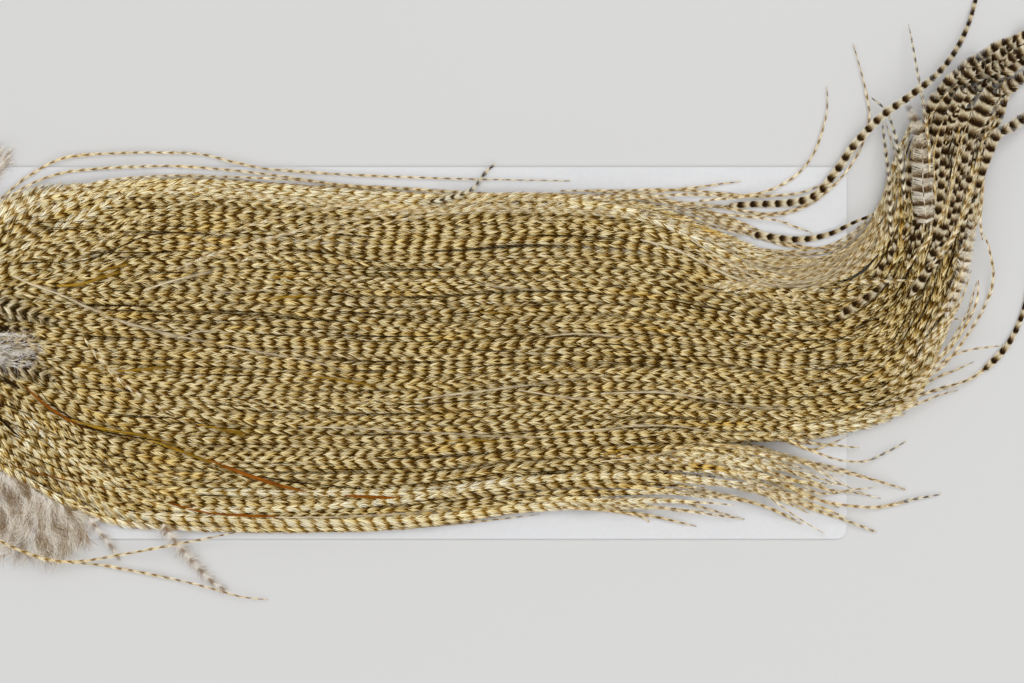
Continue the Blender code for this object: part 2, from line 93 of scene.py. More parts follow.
def along(values, place):
    """Places on a smooth curve through the numbers or points of a list."""
    table = np.asarray(values, float)
    if table.ndim == 1:
        table = table[:, None]
    last = len(table) - 1
    place = np.clip(np.atleast_1d(np.asarray(place, float)), 0, last)
    low = np.minimum(place.astype(int), last - 1)
    f = (place - low)[:, None]
    weights = (-0.5 * f + f * f - 0.5 * f ** 3, 1 - 2.5 * f * f + 1.5 * f ** 3,
               0.5 * f + 2 * f * f - 1.5 * f ** 3, -0.5 * f * f + 0.5 * f ** 3)
    corners = [table[np.clip(low + k, 0, last)] for k in (-1, 0, 1, 2)]
    return sum(w * c for w, c in zip(weights, corners))


def smooth_noise(places, spacing, size=1.0):
    """Smooth random numbers about zero, one for each place, that change over the given spacing."""
    low = places.min()
    count = int((places.max() - low) / spacing) + 4
    return size * along(random.uniform(-1, 1, count), (places - low) / spacing + 1)[:, 0]


def unit(vectors):
    return vectors / np.maximum(np.linalg.norm(vectors, axis=-1, keepdims=True), 1e-9)


def ease(x):
    x = np.clip(x, 0, 1)
    return x * x * (3 - 2 * x)


def mix(a, b, share):
    return a + (b - a) * share


def on_model(pixels):
    """Plan places of pixels of the photo."""
    return (np.asarray(pixels) - CARD_CENTRE_PIXEL) * (PIXEL, -PIXEL)


def run_lengths(line):
    """How far along a line of points each of them lies."""
    return np.concatenate(([0.0], np.cumsum(np.linalg.norm(np.diff(line, axis=0), axis=1))))


def resample(line, run, s):
    """Points of a line at the given lengths along it."""
    return np.stack([np.interp(s, run, line[:, k]) for k in range(3)], axis=1)


class Path:
    """A feather's centre line, with its length so far and its three directions at each point."""

    def __init__(self, points, roll=0.0):
        self.points = points
        self.s = run_lengths(points)
        self.length = self.s[-1]
        ahead = unit(np.gradient(points, self.s, axis=0))
        across = unit(np.cross((0.0, 0.0, 1.0), ahead))
        up = np.cross(ahead, across)
        turn = np.broadcast_to(roll, len(points))[:, None]
        self.ahead = ahead
        self.across = across * np.cos(turn) + up * np.sin(turn)
        self.up = up * np.cos(turn) - across * np.sin(turn)

    def at(self, s, values=None):
        values = self.points if values is None else values
        return resample(values, self.s, s)


# Blades: every barb and shaft is made of four-cornered blades, which carry their place on the feather map

SHAFT_SPACING = 2.5
SHAFT_TAPER = 0.8
SHAFT_SINK = 0.03
SHAFT_RISE = 0.07
DOWN_SHAFT = 0.22
DOWN_STEPS = 4
DOWN_SHAPE = (0.8, 1, 1, 0.7, 0.3)
DOWN_CURL = 0.35
DOWN_LIFT = 0.25


class Blades:
    def __init__(self):
        self.corners = []
        self.maps = []

    def add(self, corners, maps):
        self.corners.append(corners)
        self.maps.append(maps)

    def build(self, name, material, slot, nodes):
        """Make the mesh, none of it below the table, ride it on the body, and let it stand for its solids."""
        corners = np.concatenate(self.corners).reshape(-1, 3) * MM
        corners[:, 2] = np.maximum(corners[:, 2], LOWEST)
        maps = np.concatenate(self.maps).reshape(-1, 2)
        count = len(corners) // 4
        mesh = bpy.data.meshes.new(name)
        mesh.vertices.add(len(corners))
        mesh.vertices.foreach_set("co", corners.astype(np.float32).ravel())
        mesh.loops.add(len(corners))
        mesh.loops.foreach_set("vertex_index", np.arange(len(corners), dtype=np.int32))
        mesh.polygons.add(count)
        mesh.polygons.foreach_set("loop_start", np.arange(0, len(corners), 4, dtype=np.int32))
        layer = mesh.uv_layers.new(name="OFBake")
        layer.data.foreach_set("uv", maps.astype(np.float32).ravel())
        mesh.materials.append(material)
        mesh.update(calc_edges=True)
        mesh.validate()
        piece = bpy.data.objects.new(name, mesh)
        bpy.context.scene.collection.objects.link(piece)
        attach(piece, "root")
        if nodes:
            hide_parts(*nodes)


def map_point(distance, strip, side):
    """Where a point of a feather lies on the map; side runs from -1 to 1 across the vane."""
    u = np.clip(distance / MAP_LENGTH, MAP_MARGIN, 1 - MAP_MARGIN)
    v = (strip + 0.5 + STRIP_FILL * side) / STRIPS
    return np.stack(np.broadcast_arrays(u, v), axis=-1)


def add_band(blades, a, b, places, strip, sides):
    """A band of blades from one line of points to another, each line at its own side of the strip."""
    corners = np.stack([a[:-1], b[:-1], b[1:], a[1:]], axis=1)
    first, second = ([map_point(part, strip, side) for part in (places[:-1], places[1:])] for side in sides)
    blades.add(corners, np.stack([first[0], second[0], second[1], first[1]], axis=1))


def add_shaft(blades, path, strip, start, width):
    """The shaft: a slim ridge of two faces along the feather's middle."""
    count = max(int(path.length / SHAFT_SPACING), 3)
    s = np.linspace(0, path.length, count + 1)
    middle = path.at(s)
    across = path.at(s, path.across)
    up = path.at(s, path.up)
    half = (0.5 * width * (1 - SHAFT_TAPER * s / path.length))[:, None]
    left = middle + across * half - up * SHAFT_SINK
    right = middle - across * half - up * SHAFT_SINK
    top = middle + up * SHAFT_RISE
    add_band(blades, left, top, start + s, strip, (0.10, 0.02))
    add_band(blades, top, right, start + s, strip, (-0.02, -0.10))


def add_feather(blades, path, strip, start, half, pitch, shape=(0.7, 1, 1, 1, 1, 0.9, 0.7, 0.45, 0.1),
                angle=(34, 27, 22), droop=0.3, loose=0.12, shaft=0.28, cover=1.15, thin=0.4, tilt=0.1,
                window=(0.0, 1e6), stretch=1.0):
    """One feather: a shaft and, on each side, a row of barbs that slant toward the tip.

    The window says which length of the feather is made, so that two materials can share one feather.
    A stretch below one draws the bars further apart."""
    if shaft:
        add_shaft(blades, path, strip, start, shaft)
    for side in (-1.0, 1.0):
        s = np.arange(max(0.0, window[0]), min(window[1], path.length - 0.4), pitch)
        if len(s) < 4:
            return
        s = s + random.uniform(-0.3, 0.3, len(s)) * pitch
        share = s / path.length
        wide = half * along(shape, share * (len(shape) - 1))[:, 0]
        lean = np.radians(along(angle, share * (len(angle) - 1))[:, 0])
        reach = wide / np.sin(lean) * (1 + loose * random.uniform(-1, 0.6, len(s)))
        lean = lean * (1 + smooth_noise(s, 5.0, loose) + loose * 0.5 * random.uniform(-1, 1, len(s)))
        run = reach * np.cos(lean)
        off = reach * np.sin(lean)
        sag = droop * off + 0.07 * random.uniform(-1, 1, len(s)) + smooth_noise(s, 6.0, 0.12)
        root = path.at(s)
        ahead = path.at(s, path.ahead)
        across = path.at(s, path.across) * side
        up = path.at(s, path.up)
        tip = root + ahead * run[:, None] + across * off[:, None] - up * sag[:, None]
        root_end = path.at(s + pitch * cover) - up * tilt
        tip_end = tip + ahead * (pitch * thin) - up * tilt
        away = side * np.clip(off / half, 0, 1.1)
        corners = np.stack([root, root_end, tip_end, tip], axis=1)
        maps = np.stack([map_point(start + stretch * place, strip, outward) for place, outward in (
            (s, 0.0), (s + pitch * cover, 0.0), (s + run + pitch * thin, away), (s + run, away))], axis=1)
        blades.add(corners, maps)


def add_ribbons(blades, lines, width, strip, start, side):
    """Fine fibres: each line of points becomes a narrow ribbon that thins to its end."""
    steps = lines.shape[1] - 1
    ahead = unit(np.gradient(lines, axis=1))
    across = unit(np.cross(ahead, (0.15, 0.1, 1.0)))
    taper = (1 - 0.75 * np.arange(steps + 1) / steps)[None, :, None]
    offset = across * (0.5 * width * taper)
    left, right = lines + offset, lines - offset
    for k in range(steps):
        corners = np.stack([left[:, k], right[:, k], right[:, k + 1], left[:, k + 1]], axis=1)
        inner, outer = side * k / steps, side * (k + 1) / steps
        maps = np.stack([map_point(start, strip, inner), map_point(start + 0.6, strip, inner),
                         map_point(start + 0.6, strip, outer), map_point(start, strip, outer)], axis=1)
        blades.add(corners, maps)


def add_down(blades, path, strip, start, half, pitch, angle=(60, 45, 30), width=0.09):
    """One downy feather: long soft wavy barbs that spread from a fine shaft."""
    add_shaft(blades, path, strip, start, DOWN_SHAFT)
    for side in (-1.0, 1.0):
        s = np.arange(0.0, path.length, pitch) + random.uniform(0, pitch, int(math.ceil(path.length / pitch)))
        s = np.clip(s, 0, path.length)
        share = s / path.length
        count = len(s)
        lean = np.radians(along(angle, share * (len(angle) - 1))[:, 0])
        lean = lean * (1 + random.uniform(-0.25, 0.25, count))
        reach = half * along(DOWN_SHAPE, share * (len(DOWN_SHAPE) - 1))[:, 0]
        reach = reach * (1 + random.uniform(-0.35, 0.15, count))
        root = path.at(s)
        ahead = path.at(s, path.ahead)
        across = path.at(s, path.across) * side
        up = path.at(s, path.up)
        bend = random.uniform(-DOWN_CURL, DOWN_CURL, count)
        rise = random.uniform(-DOWN_LIFT, DOWN_LIFT, count)
        lines = []
        for place in np.linspace(0, 1, DOWN_STEPS + 1):
            turn = lean - 0.6 * place * lean + bend * place
            far = reach * place
            wave = 0.05 * reach * np.sin(9 * place + 7 * bend)
            lines.append(root + ahead * (far * np.cos(turn) + wave)[:, None]
                         + across * (far * np.sin(turn))[:, None] + up * (far * rise * place)[:, None])
        add_ribbons(blades, np.stack(lines, axis=1), width, strip, start + s, side)


# Materials

class Graph:
    """A material whose nodes are put together by short calls."""

    def __init__(self, name, roughness, specular):
        self.material = bpy.data.materials.new(name)
        self.material.use_nodes = True
        self.nodes = self.material.node_tree.nodes
        self.links = self.material.node_tree.links
        self.shader = self.nodes["Principled BSDF"]
        self.shader.inputs["Roughness"].default_value = roughness
        self.shader.inputs["Specular IOR Level"].default_value = specular

    def put(self, socket, value):
        if isinstance(value, bpy.types.NodeSocket):
            self.links.new(value, socket)
        else:
            socket.default_value = value

    def feather_map(self):
        """Length along the feather in millimetres, and the height on the map."""
        place = self.nodes.new("ShaderNodeUVMap")
        place.uv_map = "OFBake"
        split = self.nodes.new("ShaderNodeSeparateXYZ")
        self.links.new(place.outputs["UV"], split.inputs[0])
        return self.times(split.outputs["X"], MAP_LENGTH), split.outputs["Y"]

    def math(self, operation, *values):
        node = self.nodes.new("ShaderNodeMath")
        node.operation = operation
        for socket, value in zip(node.inputs, values):
            self.put(socket, value)
        return node.outputs[0]

    def add(self, *values):
        total = values[0]
        for value in values[1:]:
            total = self.math("ADD", total, value)
        return total

    def times(self, a, b):
        return self.math("MULTIPLY", a, b)

    def vector(self, x, y, z=0.0):
        node = self.nodes.new("ShaderNodeCombineXYZ")
        for socket, value in zip(node.inputs, (x, y, z)):
            self.put(socket, value)
        return node.outputs[0]

    def noise(self, vector, scale, detail):
        """Smooth noise from 0 to 1."""
        node = self.nodes.new("ShaderNodeTexNoise")
        self.put(node.inputs["Vector"], vector)
        node.inputs["Scale"].default_value = scale
        node.inputs["Detail"].default_value = detail
        return node.outputs["Fac"]

    def centred(self, noise, size):
        """Noise moved to lie about zero, with the given size."""
        return self.times(self.math("SUBTRACT", noise, 0.5), 2 * size)

    def ramp(self, value, stops):
        node = self.nodes.new("ShaderNodeValToRGB")
        elements = node.color_ramp.elements
        while len(elements) < len(stops):
            elements.new(0.5)
        for element, (place, colour) in zip(elements, stops):
            element.position = place
            element.color = (*colour, 1.0)
        self.put(node.inputs[0], value)
        return node.outputs["Color"]

    def tint(self, share, a, b):
        """The first colour multiplied by the second, as strongly as the share says."""
        node = self.nodes.new("ShaderNodeMix")
        node.data_type = "RGBA"
        node.blend_type = "MULTIPLY"
        self.put(node.inputs[0], share)
        self.put(node.inputs[6], a)
        self.put(node.inputs[7], b)
        return node.outputs[2]

    def bump(self, height, strength, distance):
        node = self.nodes.new("ShaderNodeBump")
        node.inputs["Strength"].default_value = strength
        node.inputs["Distance"].default_value = distance
        self.put(node.inputs["Height"], height)
        self.links.new(node.outputs["Normal"], self.shader.inputs["Normal"])


# Streak tints along the barbs: partly barb-to-barb tone, partly painted highlight and painted shade
BARB_TONE_LIGHT_AND_SHADE = [(0.36, (0.52, 0.42, 0.28)), (0.48, (1.0, 0.99, 0.98)), (0.64, (1.24, 1.24, 1.25))]
PLAIN_TINTS = [(0.3, (0.95, 0.96, 1.0)), (0.7, (1.0, 0.96, 0.9))]
WARM_TINTS = [(0.30, (0.97, 0.98, 1.04)), (0.50, (1.0, 0.98, 0.94)), (0.70, (1.0, 0.92, 0.72))]
GOLDEN_TINTS = [(0.30, (0.94, 0.96, 1.06)), (0.50, (1.0, 1.0, 0.99)), (0.62, (1.0, 0.95, 0.78)),
                (0.76, (1.0, 0.84, 0.42))]


def feather_material(name, stops, period=3.9, chevron=1.0, slant=3.6, ragged=0.5, wander=1.2, lens=0.0,
                     edge=0.0, roughness=0.55, specular=0.05, tints=PLAIN_TINTS, streaks=1.0, toothed=False,
                     grain=0.3):
    """Bars across a feather, drawn on the feather map, with streaks along the barbs and ragged bar edges.

    Toothed bars are straight on the root side and run out in a point on each vane.
    The streaks are partly barb-to-barb tone and partly painted highlight and painted shade between barbs.
    A lens above zero paints shade near the shaft and at the barb tips, where neighbouring rows overlap."""
    g = Graph(name, roughness, specular)
    distance, level = g.feather_map()
    rows = g.times(level, float(STRIPS))
    strip = g.math("FLOOR", rows)
    across = g.math("SUBTRACT", g.math("FRACT", rows), 0.5)
    side = g.math("SIGN", across)
    away = g.times(g.math("ABSOLUTE", across), 1 / STRIP_FILL)
    root = g.math("SUBTRACT", distance, g.times(away, slant))
    lane = g.add(g.times(strip, 7.31), g.times(side, 2.3))
    rag = g.centred(g.noise(g.vector(g.times(root, 0.9), lane), 1.0, 1.0), 2 * ragged)
    drift = g.centred(g.noise(g.vector(g.times(distance, 0.03), g.times(strip, 3.7)), 1.0, 1.0), wander)
    turns = g.times(g.add(distance, g.times(away, -chevron), rag, drift), 1 / period)
    if toothed:
        part = g.math("FRACT", turns)
        wave = g.times(g.math("MINIMUM", g.times(part, 4.0), 1.0), g.math("SUBTRACT", 1.0, part))
    else:
        wave = g.math("MULTIPLY_ADD", g.math("COSINE", g.times(turns, math.tau)), 0.5, 0.5)
    fine = g.centred(g.noise(g.vector(g.times(root, 2.4), lane, 5.0), 1.0, 1.0), grain)
    # Painted shade: the lens term darkens the vane near the shaft and at the barb tips, between rows
    bend = g.math("MULTIPLY_ADD", away, 2.0, -0.9)
    tone = g.add(wave, fine, g.times(g.times(bend, bend), -lens), g.times(g.math("POWER", away, 3.0), edge))
    colour = g.ramp(tone, stops)
    hue = g.noise(g.vector(g.times(distance, 0.035), g.times(strip, 5.9), 3.0), 1.0, 2.0)
    colour = g.tint(1.0, colour, g.ramp(hue, tints))
    # Streaks along the barbs, partly painted highlight and painted shade between barbs
    streak = g.noise(g.vector(g.times(root, 1.7), lane, 9.0), 1.0, 1.0)
    colour = g.tint(streaks, colour, g.ramp(streak, BARB_TONE_LIGHT_AND_SHADE))
    g.put(g.shader.inputs["Base Color"], colour)
    return g.material


# The lens of the mass feathers paints shade in the grooves between their rows
GINGER = feather_material("ginger_hackle", [
    (0.00, (0.045, 0.020, 0.001)), (0.10, (0.100, 0.046, 0.003)), (0.21, (0.27, 0.135, 0.014)),
    (0.31, (0.53, 0.36, 0.090)), (0.47, (0.80, 0.67, 0.35)), (0.8, (0.91, 0.82, 0.56))], ragged=1.2,
    lens=0.28, tints=GOLDEN_TINTS, toothed=True)
TIPS = feather_material("ginger_tips", [
    (0.00, (0.25, 0.125, 0.012)), (0.12, (0.43, 0.250, 0.038)), (0.23, (0.77, 0.59, 0.24)),
    (0.35, (0.95, 0.86, 0.56)), (0.9, (0.98, 0.94, 0.76))], ragged=0.9, lens=0.05, tints=GOLDEN_TINTS,
    toothed=True)
PALE = feather_material("pale_hackle", [
    (0.05, (0.32, 0.190, 0.045)), (0.24, (0.50, 0.335, 0.105)), (0.40, (0.80, 0.66, 0.36)),
    (0.66, (0.89, 0.80, 0.56)), (1.0, (0.92, 0.86, 0.68))], period=3.3, chevron=0.9, slant=2.0, edge=0.55,
    ragged=0.3, tints=WARM_TINTS)
FAINT = feather_material("faint_hackle", [
    (0.0, (0.44, 0.30, 0.11)), (0.3, (0.66, 0.52, 0.26)), (0.6, (0.84, 0.74, 0.48)),
    (1.0, (0.90, 0.83, 0.63))], period=3.4, chevron=1.2, slant=2.4, edge=0.4, ragged=0.5, specular=0.12,
    tints=WARM_TINTS)
DARK_BARS = dict(chevron=0.4, slant=2.4, edge=0.38, ragged=0.2, specular=0.04, streaks=0.6, grain=0.2,
                 toothed=True)
DARK = feather_material("dark_hackle", [
    (0.00, (0.018, 0.009, 0.003)), (0.25, (0.034, 0.018, 0.006)), (0.38, (0.110, 0.064, 0.026)),
    (0.51, (0.32, 0.23, 0.12)), (0.64, (0.60, 0.53, 0.36)), (0.9, (0.76, 0.70, 0.54))],
    period=-3.3, **DARK_BARS)
DARK_LOOSE = feather_material("loose_dark_hackle", [
    (0.00, (0.018, 0.009, 0.003)), (0.20, (0.034, 0.018, 0.006)), (0.33, (0.120, 0.072, 0.030)),
    (0.46, (0.38, 0.29, 0.16)), (0.60, (0.66, 0.59, 0.42)), (0.9, (0.80, 0.75, 0.60))],
    period=-3.4, **DARK_BARS)
DARK_FINE = feather_material("dark_tips", [
    (0.00, (0.045, 0.028, 0.012)), (0.30, (0.11, 0.070, 0.030)), (0.44, (0.45, 0.36, 0.20)),
    (0.60, (0.80, 0.74, 0.55)), (0.9, (0.90, 0.86, 0.70))], period=2.9, chevron=0.8, slant=2.0, edge=0.3,
    ragged=0.3, streaks=0.5, grain=0.25)
SOFT = feather_material("soft_barred", [
    (0.00, (0.10, 0.058, 0.026)), (0.14, (0.16, 0.098, 0.048)), (0.27, (0.42, 0.32, 0.20)),
    (0.40, (0.76, 0.70, 0.56)), (0.9, (0.86, 0.82, 0.72))], period=-3.3, chevron=0.3, slant=1.4, edge=0.15,
    ragged=0.25, streaks=0.4, grain=0.15, toothed=True)
WEBBY = feather_material("webby_hackle", [
    (0.10, (0.028, 0.015, 0.003)), (0.35, (0.09, 0.055, 0.016)), (0.49, (0.40, 0.30, 0.14)),
    (0.64, (0.76, 0.68, 0.46)), (1.0, (0.92, 0.87, 0.70))], period=3.1, chevron=1.5, slant=3.6, edge=0.1,
    ragged=0.6, roughness=0.7, toothed=True)
DOWN = feather_material("down", [
    (0.0, (0.24, 0.150, 0.070)), (0.28, (0.37, 0.265, 0.150)), (0.51, (0.70, 0.62, 0.48)),
    (0.84, (0.91, 0.87, 0.79))], period=8.0, chevron=1.5, slant=0.0, edge=0.1, ragged=0.7, wander=2.0,
    roughness=0.8, streaks=0.2, grain=0.12)
FLUFF = feather_material("pale_fluff", [
    (0.0, (0.16, 0.110, 0.065)), (0.22, (0.36, 0.290, 0.200)), (0.42, (0.70, 0.65, 0.56)),
    (0.75, (0.88, 0.86, 0.81))], period=6.0, chevron=1.5, slant=0.0, edge=0.3, ragged=0.7, wander=2.0,
    roughness=0.8, streaks=0.2, grain=0.12)
BLOTCHED = feather_material("blotched_down", [
    (0.05, (0.27, 0.155, 0.070)), (0.34, (0.44, 0.305, 0.175)), (0.52, (0.76, 0.68, 0.54)),
    (0.9, (0.92, 0.89, 0.83))], period=3.8, chevron=0.6, slant=1.2, edge=0.55, ragged=0.3,
    roughness=0.8, streaks=0.3, grain=0.2)


# Bare shafts and painted shade (SHADE): the strip of the map says which kind, from the first strip up
RUST, STRAW, SHADE, GOLD = 1, 7, 13, 19


def strand_material():
    """Rust, straw and gold shafts and slivers, and near-black painted shade, with a slow change along each.
    """
    g = Graph("shafts_and_painted_gap_shade", 0.6, 0.05)
    distance, level = g.feather_map()
    kind = g.ramp(level, [
        (0.0, (0.27, 0.082, 0.004)), (4.0 / STRIPS, (0.27, 0.082, 0.004)),
        (4.01 / STRIPS, (0.70, 0.60, 0.40)), (10.0 / STRIPS, (0.70, 0.59, 0.40)),
        # SHADE: near-black painted shade for the gaps between rows and the hollows
        (10.01 / STRIPS, (0.030, 0.014, 0.003)),
        (16.0 / STRIPS, (0.030, 0.014, 0.003)), (16.01 / STRIPS, (0.42, 0.24, 0.020))])
    change = g.noise(g.vector(g.times(distance, 0.25), g.times(level, 40.0)), 1.0, 2.0)
    shade = g.ramp(change, [(0.3, (0.50, 0.45, 0.40)), (0.55, (1.0, 1.0, 1.0)), (0.75, (1.15, 1.15, 1.1))])
    g.put(g.shader.inputs["Base Color"], g.tint(1.0, kind, shade))
    return g.material


SHAFTS_AND_SHADE = strand_material()


def card_material():
    """Smooth white card with a faint fibre mottle."""
    g = Graph("white_card", 0.55, 0.4)
    place = g.nodes.new("ShaderNodeTexCoord").outputs["Object"]
    mottle = g.noise(place, 900.0, 3.0)
    cloud = g.noise(place, 18.0, 2.0)
    colour = g.ramp(g.add(g.times(mottle, 0.5), g.times(cloud, 0.5)),
                    [(0.3, (0.650, 0.655, 0.668)), (0.7, (0.70, 0.704, 0.714))])
    g.put(g.shader.inputs["Base Color"], colour)
    g.bump(mottle, 0.15, 0.0001)
    return g.material


def hide_material():
    """Dried skin: amber brown, blotched, with small pits where feathers grew, darkened with painted shade."""
    g = Graph("dried_hide", 0.5, 0.5)
    place = g.nodes.new("ShaderNodeTexCoord").outputs["Object"]
    blotch = g.noise(place, 90.0, 4.0)
    grain = g.noise(place, 900.0, 2.0)
    pits = g.nodes.new("ShaderNodeTexVoronoi")
    pits.inputs["Scale"].default_value = 420.0
    g.put(pits.inputs["Vector"], place)
    colour = g.ramp(g.add(g.times(blotch, 0.8), g.times(grain, 0.2)),
                    [(0.3, (0.20, 0.09, 0.03)), (0.5, (0.42, 0.24, 0.09)), (0.7, (0.62, 0.44, 0.22))])
    # Painted shade: the pits are coloured darker
    pit_shade = g.ramp(pits.outputs["Distance"], [(0.05, (0.35, 0.3, 0.25)), (0.3, (1.0, 1.0, 1.0))])
    g.put(g.shader.inputs["Base Color"], g.tint(0.8, colour, pit_shade))
    g.bump(g.add(grain, pits.outputs["Distance"]), 0.4, 0.0003)
    return g.material


def floor_material():
    g = Graph("pale_floor", 0.7, 0.3)
    g.shader.inputs["Base Color"].default_value = (0.635, 0.633, 0.627, 1.0)
    return g.material


# The sheaf

def sheaf_plan(t, share, in_fan):
    """Plan points of the sheaf at places t, where share runs from the inner to the lower edge."""
    share = np.broadcast_to(share, t.shape)[:, None]
    curl = mix(along(INNER_EDGE, t), along(CURL_OUTER_EDGE, t), share / CURL_SHARE)
    fan = mix(along(FAN_TOP_EDGE, t), along(LOWER_EDGE, t), (share - CURL_SHARE) / (1 - CURL_SHARE))
    lower = np.where(t[:, None] < FORK, share > CURL_SHARE, in_fan)
    plan = np.where(lower, fan, curl)
    plan[:, 0] -= ROOT_BULGE * np.maximum(1 - t, 0) * (1 - (2 * share[:, 0] - 1) ** 2)
    return plan


def sheaf_height(t, share, in_fan):
    """Heights of the sheaf's underside and of its rounded top."""
    share = np.clip(np.broadcast_to(share, t.shape), 0, 1)
    if in_fan:
        local = (share - CURL_SHARE) / (1 - CURL_SHARE)
    else:
        local = share / CURL_SHARE
    across = np.clip(mix(share, local, np.clip((t - FORK) / FORK_BLEND, 0, 1)), 0, 1)
    round_off = (1 - np.abs(2 * across - 1) ** CROWN_FLATNESS) ** CROWN_SHOULDER
    low = along(SHEAF_UNDERSIDE, t)[:, 0]
    crown = along(SHEAF_CROWN, t)[:, 0] - low
    if in_fan:
        crown = crown * mix(1.0, FAN_TIP_THICKNESS, np.clip((t - FORK) / FAN_THINNING, 0, 1))
    return low, low + crown * mix(EDGE_THICKNESS, 1.0, round_off)


# Shares of the width and places along the sheaf, and what holds there
PALE_EDGES = [0.0, 0.05, 0.12, 0.20, 0.80, 0.88, 0.95, 1.0]
PALE_CHANCES = [0.8, 0.45, 0.15, 0.0, 0.0, 0.1, 0.3, 0.75]
WANDER_PLACES = [0, 4, 9, 12, 14, 17, 20]
WANDER_SIZES = [0.010, 0.010, 0.014, 0.030, 0.05, 0.05, 0.03]
WANDER_SPACING = 2.6
PLACE_STEP = 0.04
PATH_STEP = 1.2
FAN_END = 13.3
GATHER_CENTRE = 0.47
GATHER = 0.35
ROOT_CURVE = 1.7
ROOT_GAP = 0.4
ROOT_STACK = 3.0
RISE_LENGTH = 28.0
LEVEL_WANDER = 0.04
LEVEL_SPACING = 1.5
ROLL = 0.2
ROLL_LENGTH = 45.0
FAN_ENDS = (12.9, 9.9)
FAN_END_SPREAD = 2.5
SHORT_SHARE = 0.82
SHORT_ENDS = (12.6, 14.6)
LONG_ENDS = (14.6, 17.0)


def sheaf_path(share, start, stop, level, wander=1.0, spread=2.8, lift=0.0, rooted=True):
    """A feather's centre line, the length before its start, and how far along it the sheaf's places lie.

    Rooted feathers start near the skin's middle and spread to their own share of the width."""
    in_fan = share > CURL_SHARE
    t = np.arange(0.0, min(stop, FAN_END if in_fan else SHEAF_END), PLACE_STEP)
    moved = share + wander * np.interp(t, WANDER_PLACES, WANDER_SIZES) * smooth_noise(t, WANDER_SPACING)
    away = np.clip((t - start) / spread, 0, 1)
    root_share = GATHER_CENTRE + GATHER * (share - GATHER_CENTRE) + random.normal(0, 0.03)
    if rooted:
        moved = moved + (root_share - share) * (1 - away) ** ROOT_CURVE
    after = ease((t - FORK + 1) / 2)
    low, high = (CURL_SHARE, 1.02) if in_fan else (-0.02, CURL_SHARE)
    moved = mix(moved, np.clip(moved, low, high), after)
    plan = sheaf_plan(t, moved, in_fan)
    bottom, top = sheaf_height(t, moved, in_fan)
    height = bottom + (top - bottom) * (level + smooth_noise(t, LEVEL_SPACING, LEVEL_WANDER)) + lift
    line = np.column_stack([plan, height])
    run = run_lengths(line)
    first = np.interp(start, t, run)
    rise = ease((run - first) / RISE_LENGTH) if rooted else 1.0
    line[:, 2] = mix(np.minimum(line[:, 2], SKIN_TOP + ROOT_GAP + ROOT_STACK * level), line[:, 2], rise)
    s = np.arange(first, run[-1], PATH_STEP)
    feather = Path(resample(line, run, s), smooth_noise(s, ROLL_LENGTH, ROLL))
    return feather, first, lambda place: np.interp(place, t, run) - first


def row_phase(share):
    """How far a row's bars are shifted: neighbours stay nearly in step and drift slowly."""
    return 2.2 * math.sin(9 * share) + 1.4 * math.sin(23 * share + 1) + random.normal(0, 0.5)


def fan_end(share):
    """How far along a feather of the fan reaches, further near its upper line than near its lower one."""
    return mix(*FAN_ENDS, (share - CURL_SHARE) / (1 - CURL_SHARE)) - FAN_END_SPREAD * random.random() ** 1.4


def curl_end():
    """How far along a feather of the curl reaches: most thin out inside the curl, some run to the end."""
    return random.uniform(*(SHORT_ENDS if random.random() < SHORT_SHARE else LONG_ENDS))


def pale_from(share):
    """Where a row turns pale: early along the inner edge of the curl and in the fan, else near its end."""
    if random.random() < np.interp(share, PALE_EDGES, PALE_CHANCES):
        return 0.0
    place = np.interp(share, (0.0, 0.06, 0.14, 0.64, 0.70, 0.74, 0.772, 0.775, 0.93, 1.0),
                      (9.2, 9.8, SHEAF_END, SHEAF_END, 12.6, 11.2, 9.8, 9.8, 9.3, 8.0))
    return place + random.uniform(-0.6, 0.6)


MASS_SHAPE = (0.7, 1, 1, 1, 1, 1, 0.9, 0.7, 0.12)
STRAND_SHAPE = (0.5, 1, 1, 1, 0.9, 0.75, 0.5, 0.2)
MASS_ANGLE = (20, 17, 16, 17, 18)
STRAND_ANGLE = (20, 18, 16)
STRAND_LEVEL = 1.02
STRAND_PITCH = 0.5


def fill_layer(groups, rows, level, start, half, pitch, wander=1.0, spread=(2.2, 3.4), lift=0.0, jitter=0.35,
               fan_cut=0.0, **looks):
    """Lay a layer of feathers side by side over the whole width, and share them out over the pieces.

    The fan cut says how much earlier the layer's feathers end in the fan."""
    for row in range(rows):
        share = (row + 0.5 + random.uniform(-jitter, jitter)) / rows
        stop = fan_end(share) - fan_cut if share > CURL_SHARE else curl_end()
        begin = random.uniform(*start)
        path, first, distance = sheaf_path(share, begin, stop, level, wander, spread=random.uniform(*spread),
                                           lift=lift + random.uniform(-0.2, 0.2))
        width = half * random.uniform(0.85, 1.15)
        group = groups[min(int(share * len(groups)), len(groups) - 1)]
        strip = random.integers(STRIPS)
        offset = first + 8 + row_phase(share)
        change = max(distance(pale_from(share)), 0.0)
        form = dict(shape=MASS_SHAPE, angle=MASS_ANGLE, **looks)
        add_feather(group, path, strip, offset, width, pitch, window=(0.0, change), **form)
        add_feather(tip_group, path, strip, offset, width, pitch, window=(change, path.length), shaft=0.0,
                    **form)


def lay_strands(group, count, shares, starts, stops, half, wander, lift=0.25):
    """Slim single strands that ride on top of the sheaf."""
    for index in range(count):
        share = random.uniform(*shares)
        path, first, _ = sheaf_path(share, random.uniform(*starts), random.uniform(*stops), STRAND_LEVEL,
                                    wander, lift=lift + random.uniform(0, 0.4))
        add_feather(group, path, random.integers(STRIPS), first + row_phase(share), random.uniform(*half),
                    STRAND_PITCH, shape=STRAND_SHAPE, angle=STRAND_ANGLE, loose=0.2, droop=0.2, shaft=0.22)


